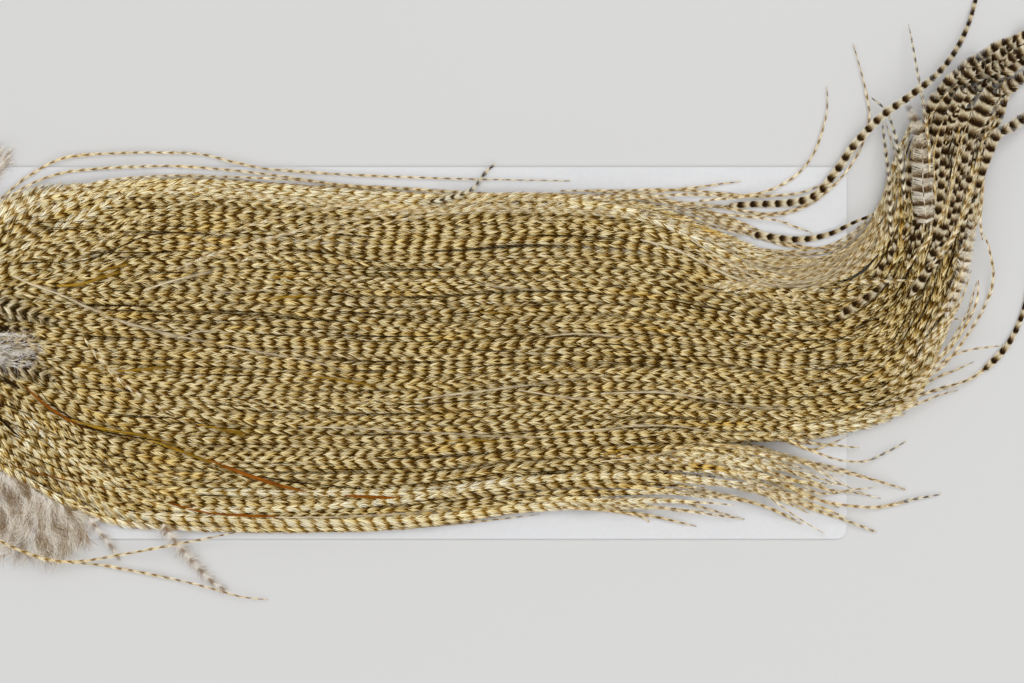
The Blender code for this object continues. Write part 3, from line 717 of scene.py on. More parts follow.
top_groups = [Blades() for _ in range(4)]
under_groups = [Blades() for _ in range(2)]
tip_group = Blades()
fill_layer(under_groups, 30, 0.30, (0.3, 1.2), 2.3, 1.6, droop=0.15, spread=(1.0, 1.4), fan_cut=1.4)
fill_layer(under_groups, 40, 0.68, (0.4, 1.4), 1.7, 1.2, spread=(1.2, 1.8), fan_cut=1.4)
fill_layer(under_groups, 44, 0.86, (0.6, 1.8), 1.4, 1.0, spread=(1.6, 2.2), fan_cut=0.7)
fill_layer(top_groups, 50, 0.94, (0.8, 2.2), 1.15, 0.8, droop=0.35)
fill_layer(top_groups, 46, 1.0, (1.2, 2.8), 1.08, 0.65, droop=0.4, lift=0.2, jitter=0.25)
fill_layer(top_groups, 24, 1.0, (1.8, 3.2), 1.05, 0.65, wander=3.0, droop=0.4, lift=0.6)
tip_group.build("hackle_tips", TIPS, "barred_hackle", ["hackle_sheaf"])

for layer, groups in (("top", top_groups), ("under", under_groups)):
    for index, group in enumerate(groups):
        group.build("hackles_%s_%d" % (layer, index + 1), GINGER, "barred_hackle", ["hackle_sheaf"])

faint_group = Blades()
lay_strands(faint_group, 26, (-0.015, 0.10), (8.8, 10.2), (12.4, 15.0), (0.35, 0.55), wander=1.2)
lay_strands(faint_group, 9, (0.785, 1.0), (8.8, 9.6), (10.6, 12.4), (0.35, 0.55), wander=1.2)
lay_strands(faint_group, 5, (0.0, 0.06), (2.5, 5.0), (8.0, 10.0), (0.35, 0.5), wander=1.5)
lay_strands(faint_group, 10, (0.08, 0.74), (12.6, 13.8), (15.0, 17.6), (0.26, 0.4), wander=3.0, lift=0.5)
faint_group.build("hackles_faint", FAINT, "stray_hackle", ["hackle_sheaf"])
strand_group = Blades()
lay_strands(strand_group, 14, (0.06, 0.74), (12.0, 13.4), (14.2, 15.6), (0.6, 0.85), wander=3.0, lift=0.4)
strand_group.build("hackles_column", GINGER, "barred_hackle", ["hackle_sheaf"])


# Loose feathers follow the solids' own lines

def node_tree(name):
    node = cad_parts[name]
    points = [v.co.copy() for v in node.data.vertices]
    return BVHTree.FromPolygons(points, [tuple(p.vertices) for p in node.data.polygons])


GROUND = [node_tree(name) for name in ("hackle_sheaf", "backing_card", "saddle_skin")]
LINE_STEP = 0.8
LAID_DEPTH = 0.1
LAID_STEPS = 12
PIXEL_STEPS = 14
SMOOTHING = 9


def top_heights(trees, plan, beside):
    """The height of the highest solid at each plan point, and the height beside them where there is none."""
    heights = []
    for x, y in plan:
        hits = [tree.ray_cast(Vector((x * MM, y * MM, 1.0)), Vector((0.0, 0.0, -1.0)))[0] for tree in trees]
        heights.append(max([hit.z / MM for hit in hits if hit], default=beside))
    return np.array(heights)


def draped(plan, height):
    """A feather's centre line through plan points at the given heights."""
    line = np.column_stack([plan, height])
    run = run_lengths(line)
    return Path(resample(line, run, np.arange(0, run[-1], LINE_STEP)))


def laid_path(name, points):
    """A loose feather's centre line: its plan curve, at the height of the top of its solid."""
    t = np.linspace(0, len(points) - 1, LAID_STEPS * len(points))
    plan = along(points, t)
    height = top_heights([node_tree(name)], plan, np.nan)
    known = ~np.isnan(height)
    return draped(plan, np.interp(t, t[known], height[known]) - LAID_DEPTH)


def pixel_path(pixels, lift):
    """A line read off the photo in pixels, draped over the solids below it."""
    t = np.linspace(0, len(pixels) - 1, PIXEL_STEPS * len(pixels))
    plan = on_model(along(pixels, t))
    wide = np.pad(top_heights(GROUND, plan, 0.0), SMOOTHING, mode="edge")
    window = 2 * SMOOTHING + 1
    return draped(plan, np.convolve(wide, np.ones(window) / window, mode="valid") + lift)


STRAYS = {
    "stray_hackle_01": (1.0, [(-88, 33), (-78.5, 42), (-71.5, 48), (-62, 53), (-48.5, 54.5), (-26.5, 54.5),
                              (-14.5, 52), (-3.5, 50), (19.5, 48.5), (49.5, 47.5), (77, 47)]),
    "stray_hackle_02": (1.0, [(-85, 32), (-77, 40.5), (-70, 46), (-59.5, 49.5), (-37.5, 51), (-22.5, 50.5),
                              (-7.5, 49), (14, 46), (38.5, 44.5)]),
    "stray_hackle_03": (0.9, [(-62, 43), (-51, 46.5), (-35, 48.3), (-16, 48), (3.5, 47), (25, 44.5)]),
    "stray_hackle_04": (1.6, [(38, 41), (45.5, 42.5), (50, 44.5), (52.5, 47.5), (54.5, 50), (57, 52)]),
    "stray_hackle_05": (1.0, [(74, 41.5), (95.5, 43.5), (109.5, 45), (124, 47)]),
    "stray_hackle_06": (1.2, [(85, 41.5), (106.5, 43.2), (120, 43), (131, 42.8), (140.5, 44), (147.5, 47)]),
    "stray_hackle_07": (1.0, [(112, 41.5), (123, 42.5), (131.5, 44.5), (138.5, 48.5), (143, 54), (145.5, 60),
                              (147, 66.5), (147, 73)]),
    "stray_hackle_08": (1.0, [(109.5, 38.5), (128.5, 37.5), (140, 39.5), (149, 46), (155.5, 54.5),
                              (158.5, 63.5), (157.5, 72), (154, 85)]),
    "stray_hackle_09": (0.9, [(112, 38), (131, 36.5), (139.5, 34), (143.5, 32.5)]),
    "stray_hackle_10": (1.1, [(173.5, 48.5), (173, 58), (172, 66.5), (171, 74.5), (170, 82.5), (169, 90)]),
    "stray_hackle_11": (1.4, [(163.5, 30.5), (163, 40.5), (163, 48.5), (162.5, 55), (162, 63)]),
    "stray_hackle_12": (1.4, [(167, 41.5), (166, 51), (164.5, 60), (162.5, 66), (158.5, 70)]),
    "stray_hackle_13": (1.2, [(165, -11), (177, -4), (185.5, 6), (190.5, 14), (192, 21), (190.5, 28),
                              (188.5, 33)]),
    "stray_hackle_14": (1.0, [(178.5, -0.5), (184, 7.5), (187, 14), (187.5, 20.5)]),
    "stray_hackle_15": (1.0, [(170.5, -7.5), (178, -2), (183.5, 0.5), (189.5, 1.5), (195, 2)]),
    "stray_hackle_16": (1.0, [(158.5, -16.5), (169, -14.5), (177.5, -11.5), (183.5, -10)]),
    "stray_hackle_17": (1.0, [(134, -22.5), (143.5, -24.5), (152.5, -25.5), (156, -26)]),
    "stray_hackle_18": (1.0, [(132.5, -22), (142.5, -26.5), (149.5, -29), (157, -29.5), (163.5, -27),
                              (169.5, -23.5)]),
    "stray_hackle_19": (1.2, [(123, -26.5), (138, -29.5), (153, -33), (161, -35), (169, -37.5)]),
    "stray_hackle_20": (1.3, [(125.5, -37), (139.5, -39), (151.5, -41.5), (161.5, -42), (170.5, -40),
                              (178.5, -38.5)]),
    "stray_hackle_21": (1.2, [(120, -35.5), (135, -39.5), (147.5, -44), (155.5, -47), (161, -49)]),
    "stray_hackle_22": (1.2, [(104, -38), (123, -40), (134, -43.5), (140.5, -47)]),
    "stray_hackle_23": (1.0, [(82, -41.5), (98.5, -41.8), (112, -43.5), (125, -45.5)]),
    "stray_hackle_24": (0.9, [(74, -42), (87.5, -43), (100, -44.8), (112, -47.5)]),
    "stray_hackle_25": (1.1, [(-94.5, -43), (-86.5, -47.5), (-78.5, -51), (-71.5, -54), (-63.5, -56.5),
                              (-51, -58), (-37.5, -60.5), (-24, -63.5), (-13, -66.5), (-5, -67.5)]),
    "stray_hackle_26": (1.0, [(-75.5, -52.5), (-66, -56), (-55, -56.5), (-43, -54.5), (-30.5, -52),
                              (-20, -50), (-10.5, -48)]),
}
DARK_STRAYS = {
    "dark_hackle_01": (2.2, [(95.5, 38.5), (112, 39.5), (124.5, 40.5), (136.5, 41), (143.5, 43), (149, 49),
                             (154.5, 57), (161, 64), (168.5, 69.5), (176.5, 76), (182, 83), (185.5, 90),
                             (187.5, 96), (189.5, 104), (190.5, 112.5)]),
    "dark_hackle_02": (2.0, [(95.5, 38), (109.5, 35.5), (120, 33.5), (129.5, 32), (139.5, 31), (147.5, 32.5),
                             (154, 35.5), (160, 38)]),
    "dark_hackle_03": (1.9, [(155.5, -14), (168, -12), (177.5, -9.5), (185, -7.5), (190.5, -4), (195, 0.5),
                             (198, 5), (200.5, 11), (202, 18), (203, 26)]),
    "dark_hackle_04": (3.1, [(186, 41.5), (189, 51.5), (192, 58.5), (196.5, 61.5), (200.5, 64), (208, 67),
                             (217.5, 71)]),
}
BROAD_FEATHERS = {
    "webby_feather_01": (5.8, [(173.5, 35), (172.5, 44.5), (172.5, 52.5), (171.5, 60), (168.5, 67.5)]),
    "webby_feather_02": (5.4, [(-100, 14), (-90, 14), (-80, 13.5), (-71, 11), (-62, 8)]),
    "webby_feather_03": (6.2, [(-98, 0), (-88, -2), (-78, -3.5), (-70, -4.5), (-62.5, -7.5)]),
    "webby_feather_04": (3.4, [(-34, -46.5), (-29.5, -53), (-25.5, -58), (-21, -62.5), (-16, -65.5)]),
    "webby_feather_05": (2.6, [(-54.5, -44.5), (-51, -49.5), (-48, -53.5), (-46, -57)]),
}
STRAY_SHAPE = (0.7, 1, 1, 1, 0.95, 0.85, 0.65, 0.3)


DARK_TIPS = {"stray_hackle_04": 0.0, "stray_hackle_10": 0.3, "stray_hackle_11": 0.0, "stray_hackle_12": 0.0,
             "stray_hackle_18": 0.7, "stray_hackle_20": 0.78}
stray_group = Blades()
dark_tips = Blades()
for name, (width, points) in STRAYS.items():
    path = laid_path(name, points)
    change = DARK_TIPS.get(name, 1.0) * path.length
    strip = random.integers(STRIPS)
    offset = random.uniform(10, 300)
    if change:
        add_feather(stray_group, path, strip, offset, width * 0.46, 0.32, shape=STRAY_SHAPE,
                    angle=STRAND_ANGLE, loose=0.25, droop=0.2, shaft=0.24, window=(0.0, change))
    if change < path.length:
        add_feather(dark_tips, path, strip, offset, width * 0.5, 0.26, shape=STRAY_SHAPE, angle=(24, 22, 18),
                    loose=0.2, droop=0.2, shaft=0.0 if change else 0.24, window=(change, path.length))

DARK_FROM = {"dark_hackle_03": 0.52, "dark_hackle_01": 0.18, "dark_hackle_02": 0.47}
DARK_SHAPE = (0.35, 0.6, 0.95, 1, 0.95, 0.8, 0.55, 0.3)
DARK_ANGLE = (36, 36, 32)
dark_strays = Blades()
for name, (width, points) in DARK_STRAYS.items():
    path = laid_path(name, points)
    strip = random.integers(STRIPS)
    offset = random.uniform(10, 300)
    change = DARK_FROM.get(name, 0.0) * path.length
    add_feather(dark_strays, path, strip, offset, width * 0.5, 0.17, shape=DARK_SHAPE, angle=DARK_ANGLE,
                loose=0.06, droop=0.25, cover=1.8, thin=1.1, window=(change, path.length))
    if change:
        add_feather(stray_group, path, strip, offset, width * 0.3, 0.3, shape=DARK_SHAPE, angle=(20, 20, 18),
                    loose=0.2, droop=0.25, shaft=0.0, window=(0.0, change))
dark_strays.build("dark_hackles_loose", DARK_LOOSE, "dark_hackle", list(DARK_STRAYS))
stray_group.build("stray_hackles", PALE, "stray_hackle", list(STRAYS))
dark_tips.build("dark_tips", DARK_FINE, "stray_hackle", list(DARK_TIPS))


# More slim feathers and hairs that leave the mass, read off the photo in pixels
EDGE_STRANDS = [
    [(870, 395), (905, 372), (928, 342), (945, 322), (968, 318)],
    [(890, 375), (918, 340), (935, 318), (948, 309), (962, 307)],
    [(905, 370), (930, 345), (948, 312), (958, 288), (968, 266)],
    [(900, 390), (925, 372), (945, 348), (962, 322), (976, 298)],
    [(925, 330), (945, 300), (957, 275), (966, 250), (972, 230)],
    [(845, 283), (870, 282), (895, 281), (915, 282)],
    [(830, 275), (850, 262), (870, 243), (884, 222), (893, 200), (900, 178)],
    [(815, 270), (840, 256), (862, 236), (878, 214)],
    [(800, 268), (835, 252), (858, 232), (874, 218)],
    [(868, 262), (880, 235), (887, 205), (890, 180), (888, 150), (884, 128)],
    [(880, 250), (893, 220), (898, 190), (897, 160), (892, 135), (886, 118)],
    [(910, 260), (930, 232), (943, 205), (950, 178), (953, 150), (958, 125), (965, 100)],
    [(925, 270), (948, 240), (960, 210), (968, 180), (970, 150), (972, 120), (968, 92)],
    [(900, 275), (925, 240), (940, 215), (948, 190), (955, 160), (962, 130)],
    [(935, 255), (955, 225), (965, 200), (972, 172), (980, 145), (990, 122), (1000, 98), (1008, 75),
     (1016, 58)],
    [(945, 245), (962, 215), (972, 185), (980, 155), (992, 128), (1003, 105), (1010, 84), (1020, 64)],
    [(540, 505), (590, 508), (640, 514), (697, 527)],
    [(560, 507), (600, 510), (640, 517), (652, 525)],
    [(620, 498), (670, 500), (710, 510), (745, 520)],
    [(630, 485), (690, 492), (745, 500), (775, 511), (803, 525)],
    [(640, 478), (700, 490), (740, 499), (772, 510), (795, 522)],
    [(720, 474), (770, 487), (800, 505), (840, 519), (876, 533)],
    [(745, 462), (790, 478), (830, 490), (860, 494), (885, 500)],
    [(740, 470), (785, 485), (825, 494), (855, 490), (880, 488)],
    [(700, 436), (760, 447), (790, 458), (815, 463), (850, 472), (908, 490)],
    [(720, 438), (770, 440), (800, 443), (845, 447)],
    [(730, 438), (780, 441), (810, 450), (830, 445), (850, 436)],
    [(600, 455), (660, 458), (720, 462), (770, 476), (800, 488)],
    [(300, 186), (360, 186), (430, 190), (500, 194), (560, 198)],
    [(560, 190), (620, 190), (665, 189), (720, 192), (765, 196), (800, 194)],
    [(600, 196), (660, 200), (720, 206), (765, 213), (800, 207), (830, 190)],
    [(20, 215), (60, 190), (120, 182), (180, 181), (240, 184), (300, 188)],
    [(90, 190), (150, 181), (210, 179), (270, 183), (330, 187), (400, 191)],
    [(250, 190), (320, 187), (400, 192), (470, 196), (540, 196)],
    [(420, 200), (480, 196), (540, 194), (600, 195), (650, 200)],
    [(120, 522), (200, 530), (280, 532), (360, 531), (440, 526)],
    [(200, 526), (290, 530), (380, 530), (470, 523), (540, 515)],
    [(84, 334), (95, 350), (108, 366), (122, 380), (138, 392), (155, 403), (178, 416)],
    [(640, 240), (680, 252), (720, 268), (765, 283), (805, 282), (840, 266), (866, 244), (884, 218)],
    [(660, 236), (700, 252), (740, 270), (785, 286), (825, 280), (858, 258), (880, 228), (890, 196)],
    [(700, 250), (745, 268), (790, 280), (830, 270), (862, 246), (882, 214), (892, 180), (896, 150)],
    [(690, 230), (730, 241), (770, 250), (810, 254), (840, 248), (862, 234)],
    [(716, 240), (760, 250), (800, 254), (832, 249), (856, 234), (870, 218)],
    [(745, 246), (790, 251), (830, 245), (855, 231), (874, 212)],
    [(560, 196), (620, 196), (670, 203), (720, 218), (760, 234), (800, 247), (840, 246)],
    [(580, 200), (640, 202), (690, 212), (735, 226), (775, 240), (815, 248), (850, 240)],
    [(600, 194), (650, 197), (700, 208), (745, 224), (785, 241), (825, 248), (858, 238)],
    [(610, 206), (660, 210), (710, 221), (750, 234), (790, 246), (830, 248)],
    [(590, 191), (640, 194), (690, 205), (735, 219), (770, 235), (800, 246)],
    [(925, 372), (945, 352), (960, 334), (969, 318), (974, 300), (978, 279)],
    [(930, 345), (944, 325), (955, 308), (963, 290), (969, 270)],
    [(915, 350), (932, 330), (946, 316), (958, 309)],
    [(905, 386), (930, 366), (950, 348), (966, 328), (978, 306)],
    [(890, 404), (915, 390), (938, 378), (958, 370), (978, 361)],
    [(880, 412), (905, 402), (935, 392), (960, 387)],
    [(950, 262), (962, 245), (972, 228), (979, 205), (982, 180), (984, 150)],
    [(984, 240), (980, 230), (979, 220), (980, 203), (981.5, 184), (979.5, 165), (980, 143)],
    [(815, 284), (842, 276), (862, 265), (880, 248), (890, 228)],
    [(825, 280), (850, 270), (868, 256), (884, 236)],
]
edge_group = Blades()
for pixels in EDGE_STRANDS:
    add_feather(edge_group, pixel_path(pixels, 0.7), random.integers(STRIPS), random.uniform(10, 300),
                random.uniform(0.4, 0.6), 0.36, shape=STRAND_SHAPE, angle=STRAND_ANGLE, loose=0.25, droop=0.2,
                shaft=0.2)
edge_group.build("hackles_edge", PALE, "stray_hackle", ["hackle_sheaf"])


# Feathers that fill the fan between its upper and lower line, in pixels
FAN_UPPER_LINE = [(705, 443), (730, 446), (760, 451), (787, 459), (810, 468), (832, 479), (850, 490)]
FAN_LOWER_LINE = [(705, 485), (730, 487), (755, 490), (778, 495), (800, 502), (825, 511), (845, 519)]
FAN_FEATHERS = 8
FAN_SCATTER = 0.8
fan_group = Blades()
for index in range(FAN_FEATHERS):
    share = (index + random.uniform(0.2, 0.8)) / FAN_FEATHERS
    pixels = mix(np.array(FAN_UPPER_LINE, float), np.array(FAN_LOWER_LINE, float), share)
    pixels = pixels + random.normal(0, FAN_SCATTER, pixels.shape)
    pixels[:, 0] += random.uniform(-34, 4)
    add_feather(fan_group, pixel_path(pixels, random.uniform(0.3, 0.8)), random.integers(STRIPS),
                random.uniform(10, 300), random.uniform(0.6, 0.85), 0.6, shape=STRAND_SHAPE, angle=MASS_ANGLE,
                droop=0.3)
fan_group.build("hackles_fan", TIPS, "barred_hackle", ["hackle_sheaf"])


# Dark feathers of the curl: half width, lift over the solid and line in pixels
DARK_IN_CURL = [
    (1.7, -0.3, [(945, 262), (952, 215), (960, 180), (966, 150), (973, 128), (984, 112), (996, 100),
                 (1008, 90), (1022, 78), (1045, 66), (1078, 50)]),
    (1.7, -0.1, [(925, 262), (935, 215), (940, 180), (944, 150), (950, 122), (960, 103), (972, 90), (985, 80),
                 (1000, 72), (1020, 62), (1050, 48), (1083, 30)]),
    (1.7, -0.1, [(905, 262), (915, 215), (922, 180), (925, 150), (932, 122), (942, 103), (955, 88), (970, 76),
                 (986, 66), (1004, 57), (1025, 48), (1055, 32), (1080, 20)]),
    (1.5, 0.1, [(890, 262), (900, 235), (906, 205), (910, 180), (914, 158), (919, 138), (927, 118)]),
    (1.5, 0.0, [(962, 262), (965, 215), (970, 190), (975, 165), (981, 145), (990, 128), (998, 115),
                (1004, 104)]),
    (1.2, 0.4, [(938, 262), (945, 232), (949, 205), (951, 182), (955, 160), (961, 138), (969, 118),
                (978, 103)]),
    (1.2, 0.4, [(930, 240), (934, 215), (937, 190), (940, 165), (944, 142), (950, 122), (958, 106)]),
    (1.1, 0.5, [(958, 245), (961, 220), (964, 196), (968, 172), (974, 150), (981, 130), (990, 112)]),
    (1.1, 0.6, [(918, 245), (924, 222), (929, 198), (931, 175), (934, 152), (939, 132), (946, 112)]),
    (1.0, 0.6, [(946, 240), (949, 218), (955, 196), (960, 174), (965, 152), (973, 132), (982, 114)]),
    (1.6, 0.2, [(921, 160), (922, 140), (926, 118), (931, 105), (939, 94), (947.5, 83), (957.5, 75),
                (966, 66.5), (977, 60), (987, 54), (996, 48), (1006, 43.5), (1018, 39), (1035, 31),
                (1055, 21), (1078, 13)]),
    (2.4, 0.1, [(984, 96), (993, 84), (1000, 76), (1008, 68), (1016, 62), (1026, 57), (1045, 50), (1070, 40),
                (1088, 33)]),
    (1.6, 0.3, [(930, 172), (931, 150), (935, 128), (940, 112.5), (946, 101), (954, 91), (960, 82.5),
                (967, 75), (975, 70), (984, 66), (991, 62), (1003, 54), (1016, 47), (1035, 38), (1060, 26),
                (1082, 18)]),
    (1.6, 0.4, [(938, 180), (941, 160), (945, 138), (950, 115), (956, 101), (964, 90), (972, 81), (981, 75),
                (990, 70), (1001, 65), (1016, 55), (1036, 46), (1060, 35), (1085, 24)]),
    (1.5, 0.5, [(947, 190), (951, 168), (953, 150), (957, 130), (962, 113), (969, 100), (977, 90),
                (986, 83)]),
    (2.4, 0.6, [(962, 160), (968, 138), (975, 122), (983, 106), (990, 96), (998, 89), (1006, 85),
                (1012, 84)]),
    (1.4, 0.6, [(955, 198), (958, 178), (961, 160), (966, 143), (973, 128), (981, 116)]),
    (1.3, 0.4, [(972, 190), (976, 170), (982, 150), (990, 132), (998, 118), (1003, 106), (1008, 95)]),
    (1.7, 0.5, [(903, 222), (905, 205), (908, 190), (909, 175), (911, 160)]),
    (1.6, 0.6, [(911, 218), (914, 202), (915, 188), (915, 172), (918, 158)]),
    (1.4, 0.5, [(932, 250), (940, 228), (947, 215), (950, 200)]),
    (1.5, 0.5, [(951, 208), (953, 190), (954, 175), (955, 160), (956, 146)]),
    (1.3, 0.5, [(912, 250), (922, 228), (930, 212), (934, 198)]),
    (1.5, 0.5, [(884, 266), (895, 246), (904, 232), (912, 218)]),
    (1.2, 0.5, [(872, 278), (884, 262), (893, 252)]),
    (1.5, 0.5, [(833, 322), (850, 307), (864, 296), (878, 284), (888, 276)]),
    (1.2, 0.5, [(922, 266), (934, 248), (944, 236)]),
    (1.2, 0.5, [(905, 300), (916, 284), (926, 270), (938, 256)]),
]
dark_group = Blades()
for half, lift, pixels in DARK_IN_CURL:
    add_feather(dark_group, pixel_path(pixels, lift), random.integers(STRIPS), 99 + random.uniform(-0.7, 0.7),
                half, 0.18, shape=(0.3, 0.9, 1, 1, 1, 0.8, 0.4), angle=DARK_ANGLE, loose=0.07, droop=0.3,
                cover=1.8, thin=1.1)
dark_group.build("dark_hackles_in_curl", DARK, "dark_hackle", ["hackle_sheaf"])


# Bare shafts and slivers on the mass, and SHADE slivers of painted shade in gaps and hollows:
# kind, width and line in pixels
SLIVERS = [
    (RUST, 0.8, [(28, 386), (40, 398), (55, 410), (74, 421), (92, 429)]),
    (SHADE, 0.7, [(60, 414), (80, 424), (110, 432), (140, 437), (165, 441)]),
    (GOLD, 0.8, [(148, 439), (165, 444), (182, 450), (200, 457), (216, 462)]),
    (SHADE, 0.6, [(160, 444), (185, 452), (205, 460), (226, 468)]),
    (RUST, 1.0, [(210, 459), (225, 465), (245, 473), (262, 479), (285, 486), (308, 491)]),
    (RUST, 0.8, [(345, 495), (362, 496), (382, 497), (402, 497)]),
    (SHADE, 0.7, [(272, 477), (290, 481), (308, 483), (325, 485)]),
    (SHADE, 0.5, [(38, 384), (50, 400), (65, 412), (90, 426), (115, 431), (140, 433)]),
    (GOLD, 0.9, [(74, 419), (95, 426), (120, 431), (145, 435), (175, 443)]),
    (GOLD, 0.6, [(165, 445), (190, 454), (215, 464), (240, 474)]),
    (RUST, 1.0, [(168, 502), (185, 507), (205, 511), (235, 514), (258, 516), (280, 516)]),
    (STRAW, 0.5, [(276, 517), (320, 517), (370, 515), (420, 512), (450, 509)]),
    (RUST, 0.3, [(0, 455), (20, 468), (60, 478), (100, 487), (125, 494)]),
    (STRAW, 1.0, [(15, 276), (35, 285), (60, 294), (85, 305), (112, 317)]),
    (STRAW, 0.9, [(108, 317), (140, 326), (180, 336), (215, 343)]),
    (STRAW, 0.6, [(226, 345), (250, 350), (290, 357)]),
    (STRAW, 0.5, [(296, 358), (320, 363), (345, 370)]),
    (STRAW, 1.0, [(146, 291), (165, 284), (190, 277), (214, 272)]),
    (STRAW, 0.5, [(215, 293), (245, 292), (275, 290)]),
    (STRAW, 0.5, [(180, 338), (200, 332), (225, 330)]),
    (STRAW, 0.6, [(415, 399), (470, 392), (520, 386), (560, 380), (605, 376)]),
    (STRAW, 0.6, [(300, 426), (360, 428), (430, 432), (500, 436), (560, 437)]),
    (STRAW, 0.7, [(560, 431), (600, 429), (640, 425), (680, 426), (705, 431)]),
    (STRAW, 0.6, [(600, 461), (650, 455), (685, 448), (705, 441)]),
    (STRAW, 0.5, [(600, 393), (660, 392), (700, 398), (750, 407), (800, 408)]),
    (STRAW, 0.8, [(640, 240), (670, 248), (700, 262), (730, 277), (760, 285), (795, 284), (830, 272),
                  (860, 252)]),
    (SHADE, 0.9, [(652, 209), (672, 212), (692, 216)]),
    (SHADE, 0.9, [(694, 221), (706, 224), (718, 227)]),
    (STRAW, 0.7, [(690, 240), (715, 255), (740, 270), (765, 283), (790, 287), (820, 283), (850, 268)]),
    (STRAW, 0.6, [(700, 236), (730, 252), (755, 270), (785, 281), (815, 277), (845, 262), (868, 240)]),
    (STRAW, 0.5, [(730, 252), (760, 268), (790, 274), (820, 269), (850, 252), (872, 228)]),
    (STRAW, 0.5, [(755, 262), (785, 268), (815, 264), (845, 248), (868, 224), (882, 200)]),
    (STRAW, 0.5, [(770, 280), (800, 283), (830, 275), (858, 258), (880, 234)]),
    (STRAW, 0.5, [(545, 337), (570, 334), (600, 335), (640, 340)]),
    (STRAW, 0.5, [(480, 285), (510, 288), (545, 291)]),
    (STRAW, 0.5, [(520, 390), (560, 396), (600, 399)]),
    # Painted shade in the hollows at the left end
    (SHADE, 1.6, [(-6, 296), (2, 299), (10, 303), (20, 306)]),
    (SHADE, 1.4, [(-6, 322), (2, 326), (8, 330), (15, 336)]),
    (SHADE, 1.8, [(-6, 374), (4, 378), (13, 383), (24, 389)]),
    (SHADE, 1.2, [(30, 352), (36, 357), (38, 364)]),
    (SHADE, 1.2, [(-6, 412), (4, 420), (14, 430), (24, 438)]),
    (SHADE, 0.5, [(60, 266), (100, 257), (140, 239), (170, 233), (200, 234), (235, 238)]),
    (SHADE, 0.5, [(295, 250), (330, 254), (365, 260), (392, 263)]),
    (SHADE, 0.6, [(325, 292), (345, 295), (368, 301)]),
    (SHADE, 0.5, [(530, 339), (560, 336), (605, 338)]),
    (SHADE, 0.5, [(790, 352), (820, 346), (850, 333), (870, 320)]),
    (SHADE, 0.5, [(648, 284), (670, 289), (694, 295)]),
    (SHADE, 0.5, [(630, 300), (670, 301), (700, 307), (735, 312)]),
    (SHADE, 0.5, [(700, 405), (740, 402), (775, 403), (805, 406)]),
    (SHADE, 0.5, [(262, 476), (285, 480), (330, 485), (370, 489)]),
    (SHADE, 0.4, [(180, 321), (220, 321), (260, 320), (300, 318)]),
    (SHADE, 0.4, [(600, 357), (660, 356), (720, 357), (770, 362)]),
    (SHADE, 0.4, [(400, 296), (440, 300), (470, 305)]),
    (SHADE, 0.5, [(600, 441), (640, 438), (670, 432)]),
    (SHADE, 0.4, [(440, 345), (480, 350), (520, 352)]),
    (GOLD, 1.0, [(60, 286), (80, 285), (100, 279), (120, 273)]),
    (GOLD, 0.8, [(100, 272), (115, 268), (130, 264)]),
    (GOLD, 0.7, [(80, 365), (92, 369), (104, 372)]),
    (GOLD, 0.8, [(120, 371), (145, 369), (165, 367), (182, 371)]),
    (GOLD, 0.8, [(274, 277), (300, 277), (322, 278)]),
    (GOLD, 0.6, [(268, 300), (290, 297), (312, 297)]),
    (GOLD, 0.6, [(310, 376), (345, 380), (390, 388)]),
    (GOLD, 0.9, [(200, 424), (220, 428), (248, 434)]),
    (GOLD, 0.6, [(445, 440), (475, 439), (500, 441)]),
    (GOLD, 0.7, [(530, 369), (550, 370), (572, 369)]),
    (GOLD, 0.5, [(480, 312), (500, 313), (520, 312)]),
    (GOLD, 0.7, [(600, 455), (630, 447), (655, 447), (680, 437)]),
]
SLIVER_SHAPE = (0.3, 1, 1, 1, 0.8, 0.3)
SLIVER_LIFT = 0.45
SLIVER_FALL = 0.15
STRAW_LIFT = 0.8
sliver_group = Blades()


def add_sliver(path, kind, width):
    """A flat sliver of two faces that narrows to both ends."""
    count = max(int(path.length / 2.0), 3)
    s = np.linspace(0, path.length, count + 1)
    middle, across = path.at(s), path.at(s, path.across)
    half = (0.5 * width * np.sin(math.pi * np.linspace(0.06, 0.97, count + 1)) ** 0.6)[:, None]
    offset = random.uniform(0, 200)
    for side in (-1.0, 1.0):
        outer = middle + across * half * side - np.array((0.0, 0.0, SLIVER_FALL))
        add_band(sliver_group, middle, outer, offset + s, kind, (0.0, side))


for kind, width, pixels in SLIVERS:
    path = pixel_path(pixels, STRAW_LIFT if kind == STRAW else SLIVER_LIFT)
    if kind in (STRAW, GOLD):
        add_feather(sliver_group, path, kind, random.uniform(0, 200), 0.6 * width, 0.5, shape=SLIVER_SHAPE,
                    angle=(12, 10, 9), loose=0.4, droop=0.3, shaft=0.5 * width)
    else:
        add_sliver(path, kind, width if kind == RUST else 0.6 * width)

# Painted shade in the gaps between rows, as near-black SHADE slivers:
# how many, where they start, at which shares of the width, and how long and wide they are
PAINTED_GAP_SHADE = [(150, (1.5, 8.5), (0.03, 0.97), (0.3, 1.1), (0.14, 0.28)),
             (60, (8.5, 12.6), (0.08, 0.74), (0.3, 1.1), (0.14, 0.28)),
             (100, (12.4, 16.4), (0.04, 0.72), (0.3, 0.8), (0.2, 0.42))]
for count, starts, shares, lengths, widths in PAINTED_GAP_SHADE:
    for index in range(count):
        begin = random.uniform(*starts)
        path, _, _ = sheaf_path(random.uniform(*shares), begin, begin + random.uniform(*lengths), 1.0,
                                lift=SLIVER_LIFT, rooted=False)
        add_sliver(path, SHADE, random.uniform(*widths))
sliver_group.build("shafts_and_painted_gaps", SHAFTS_AND_SHADE, "barred_hackle", ["hackle_sheaf"])


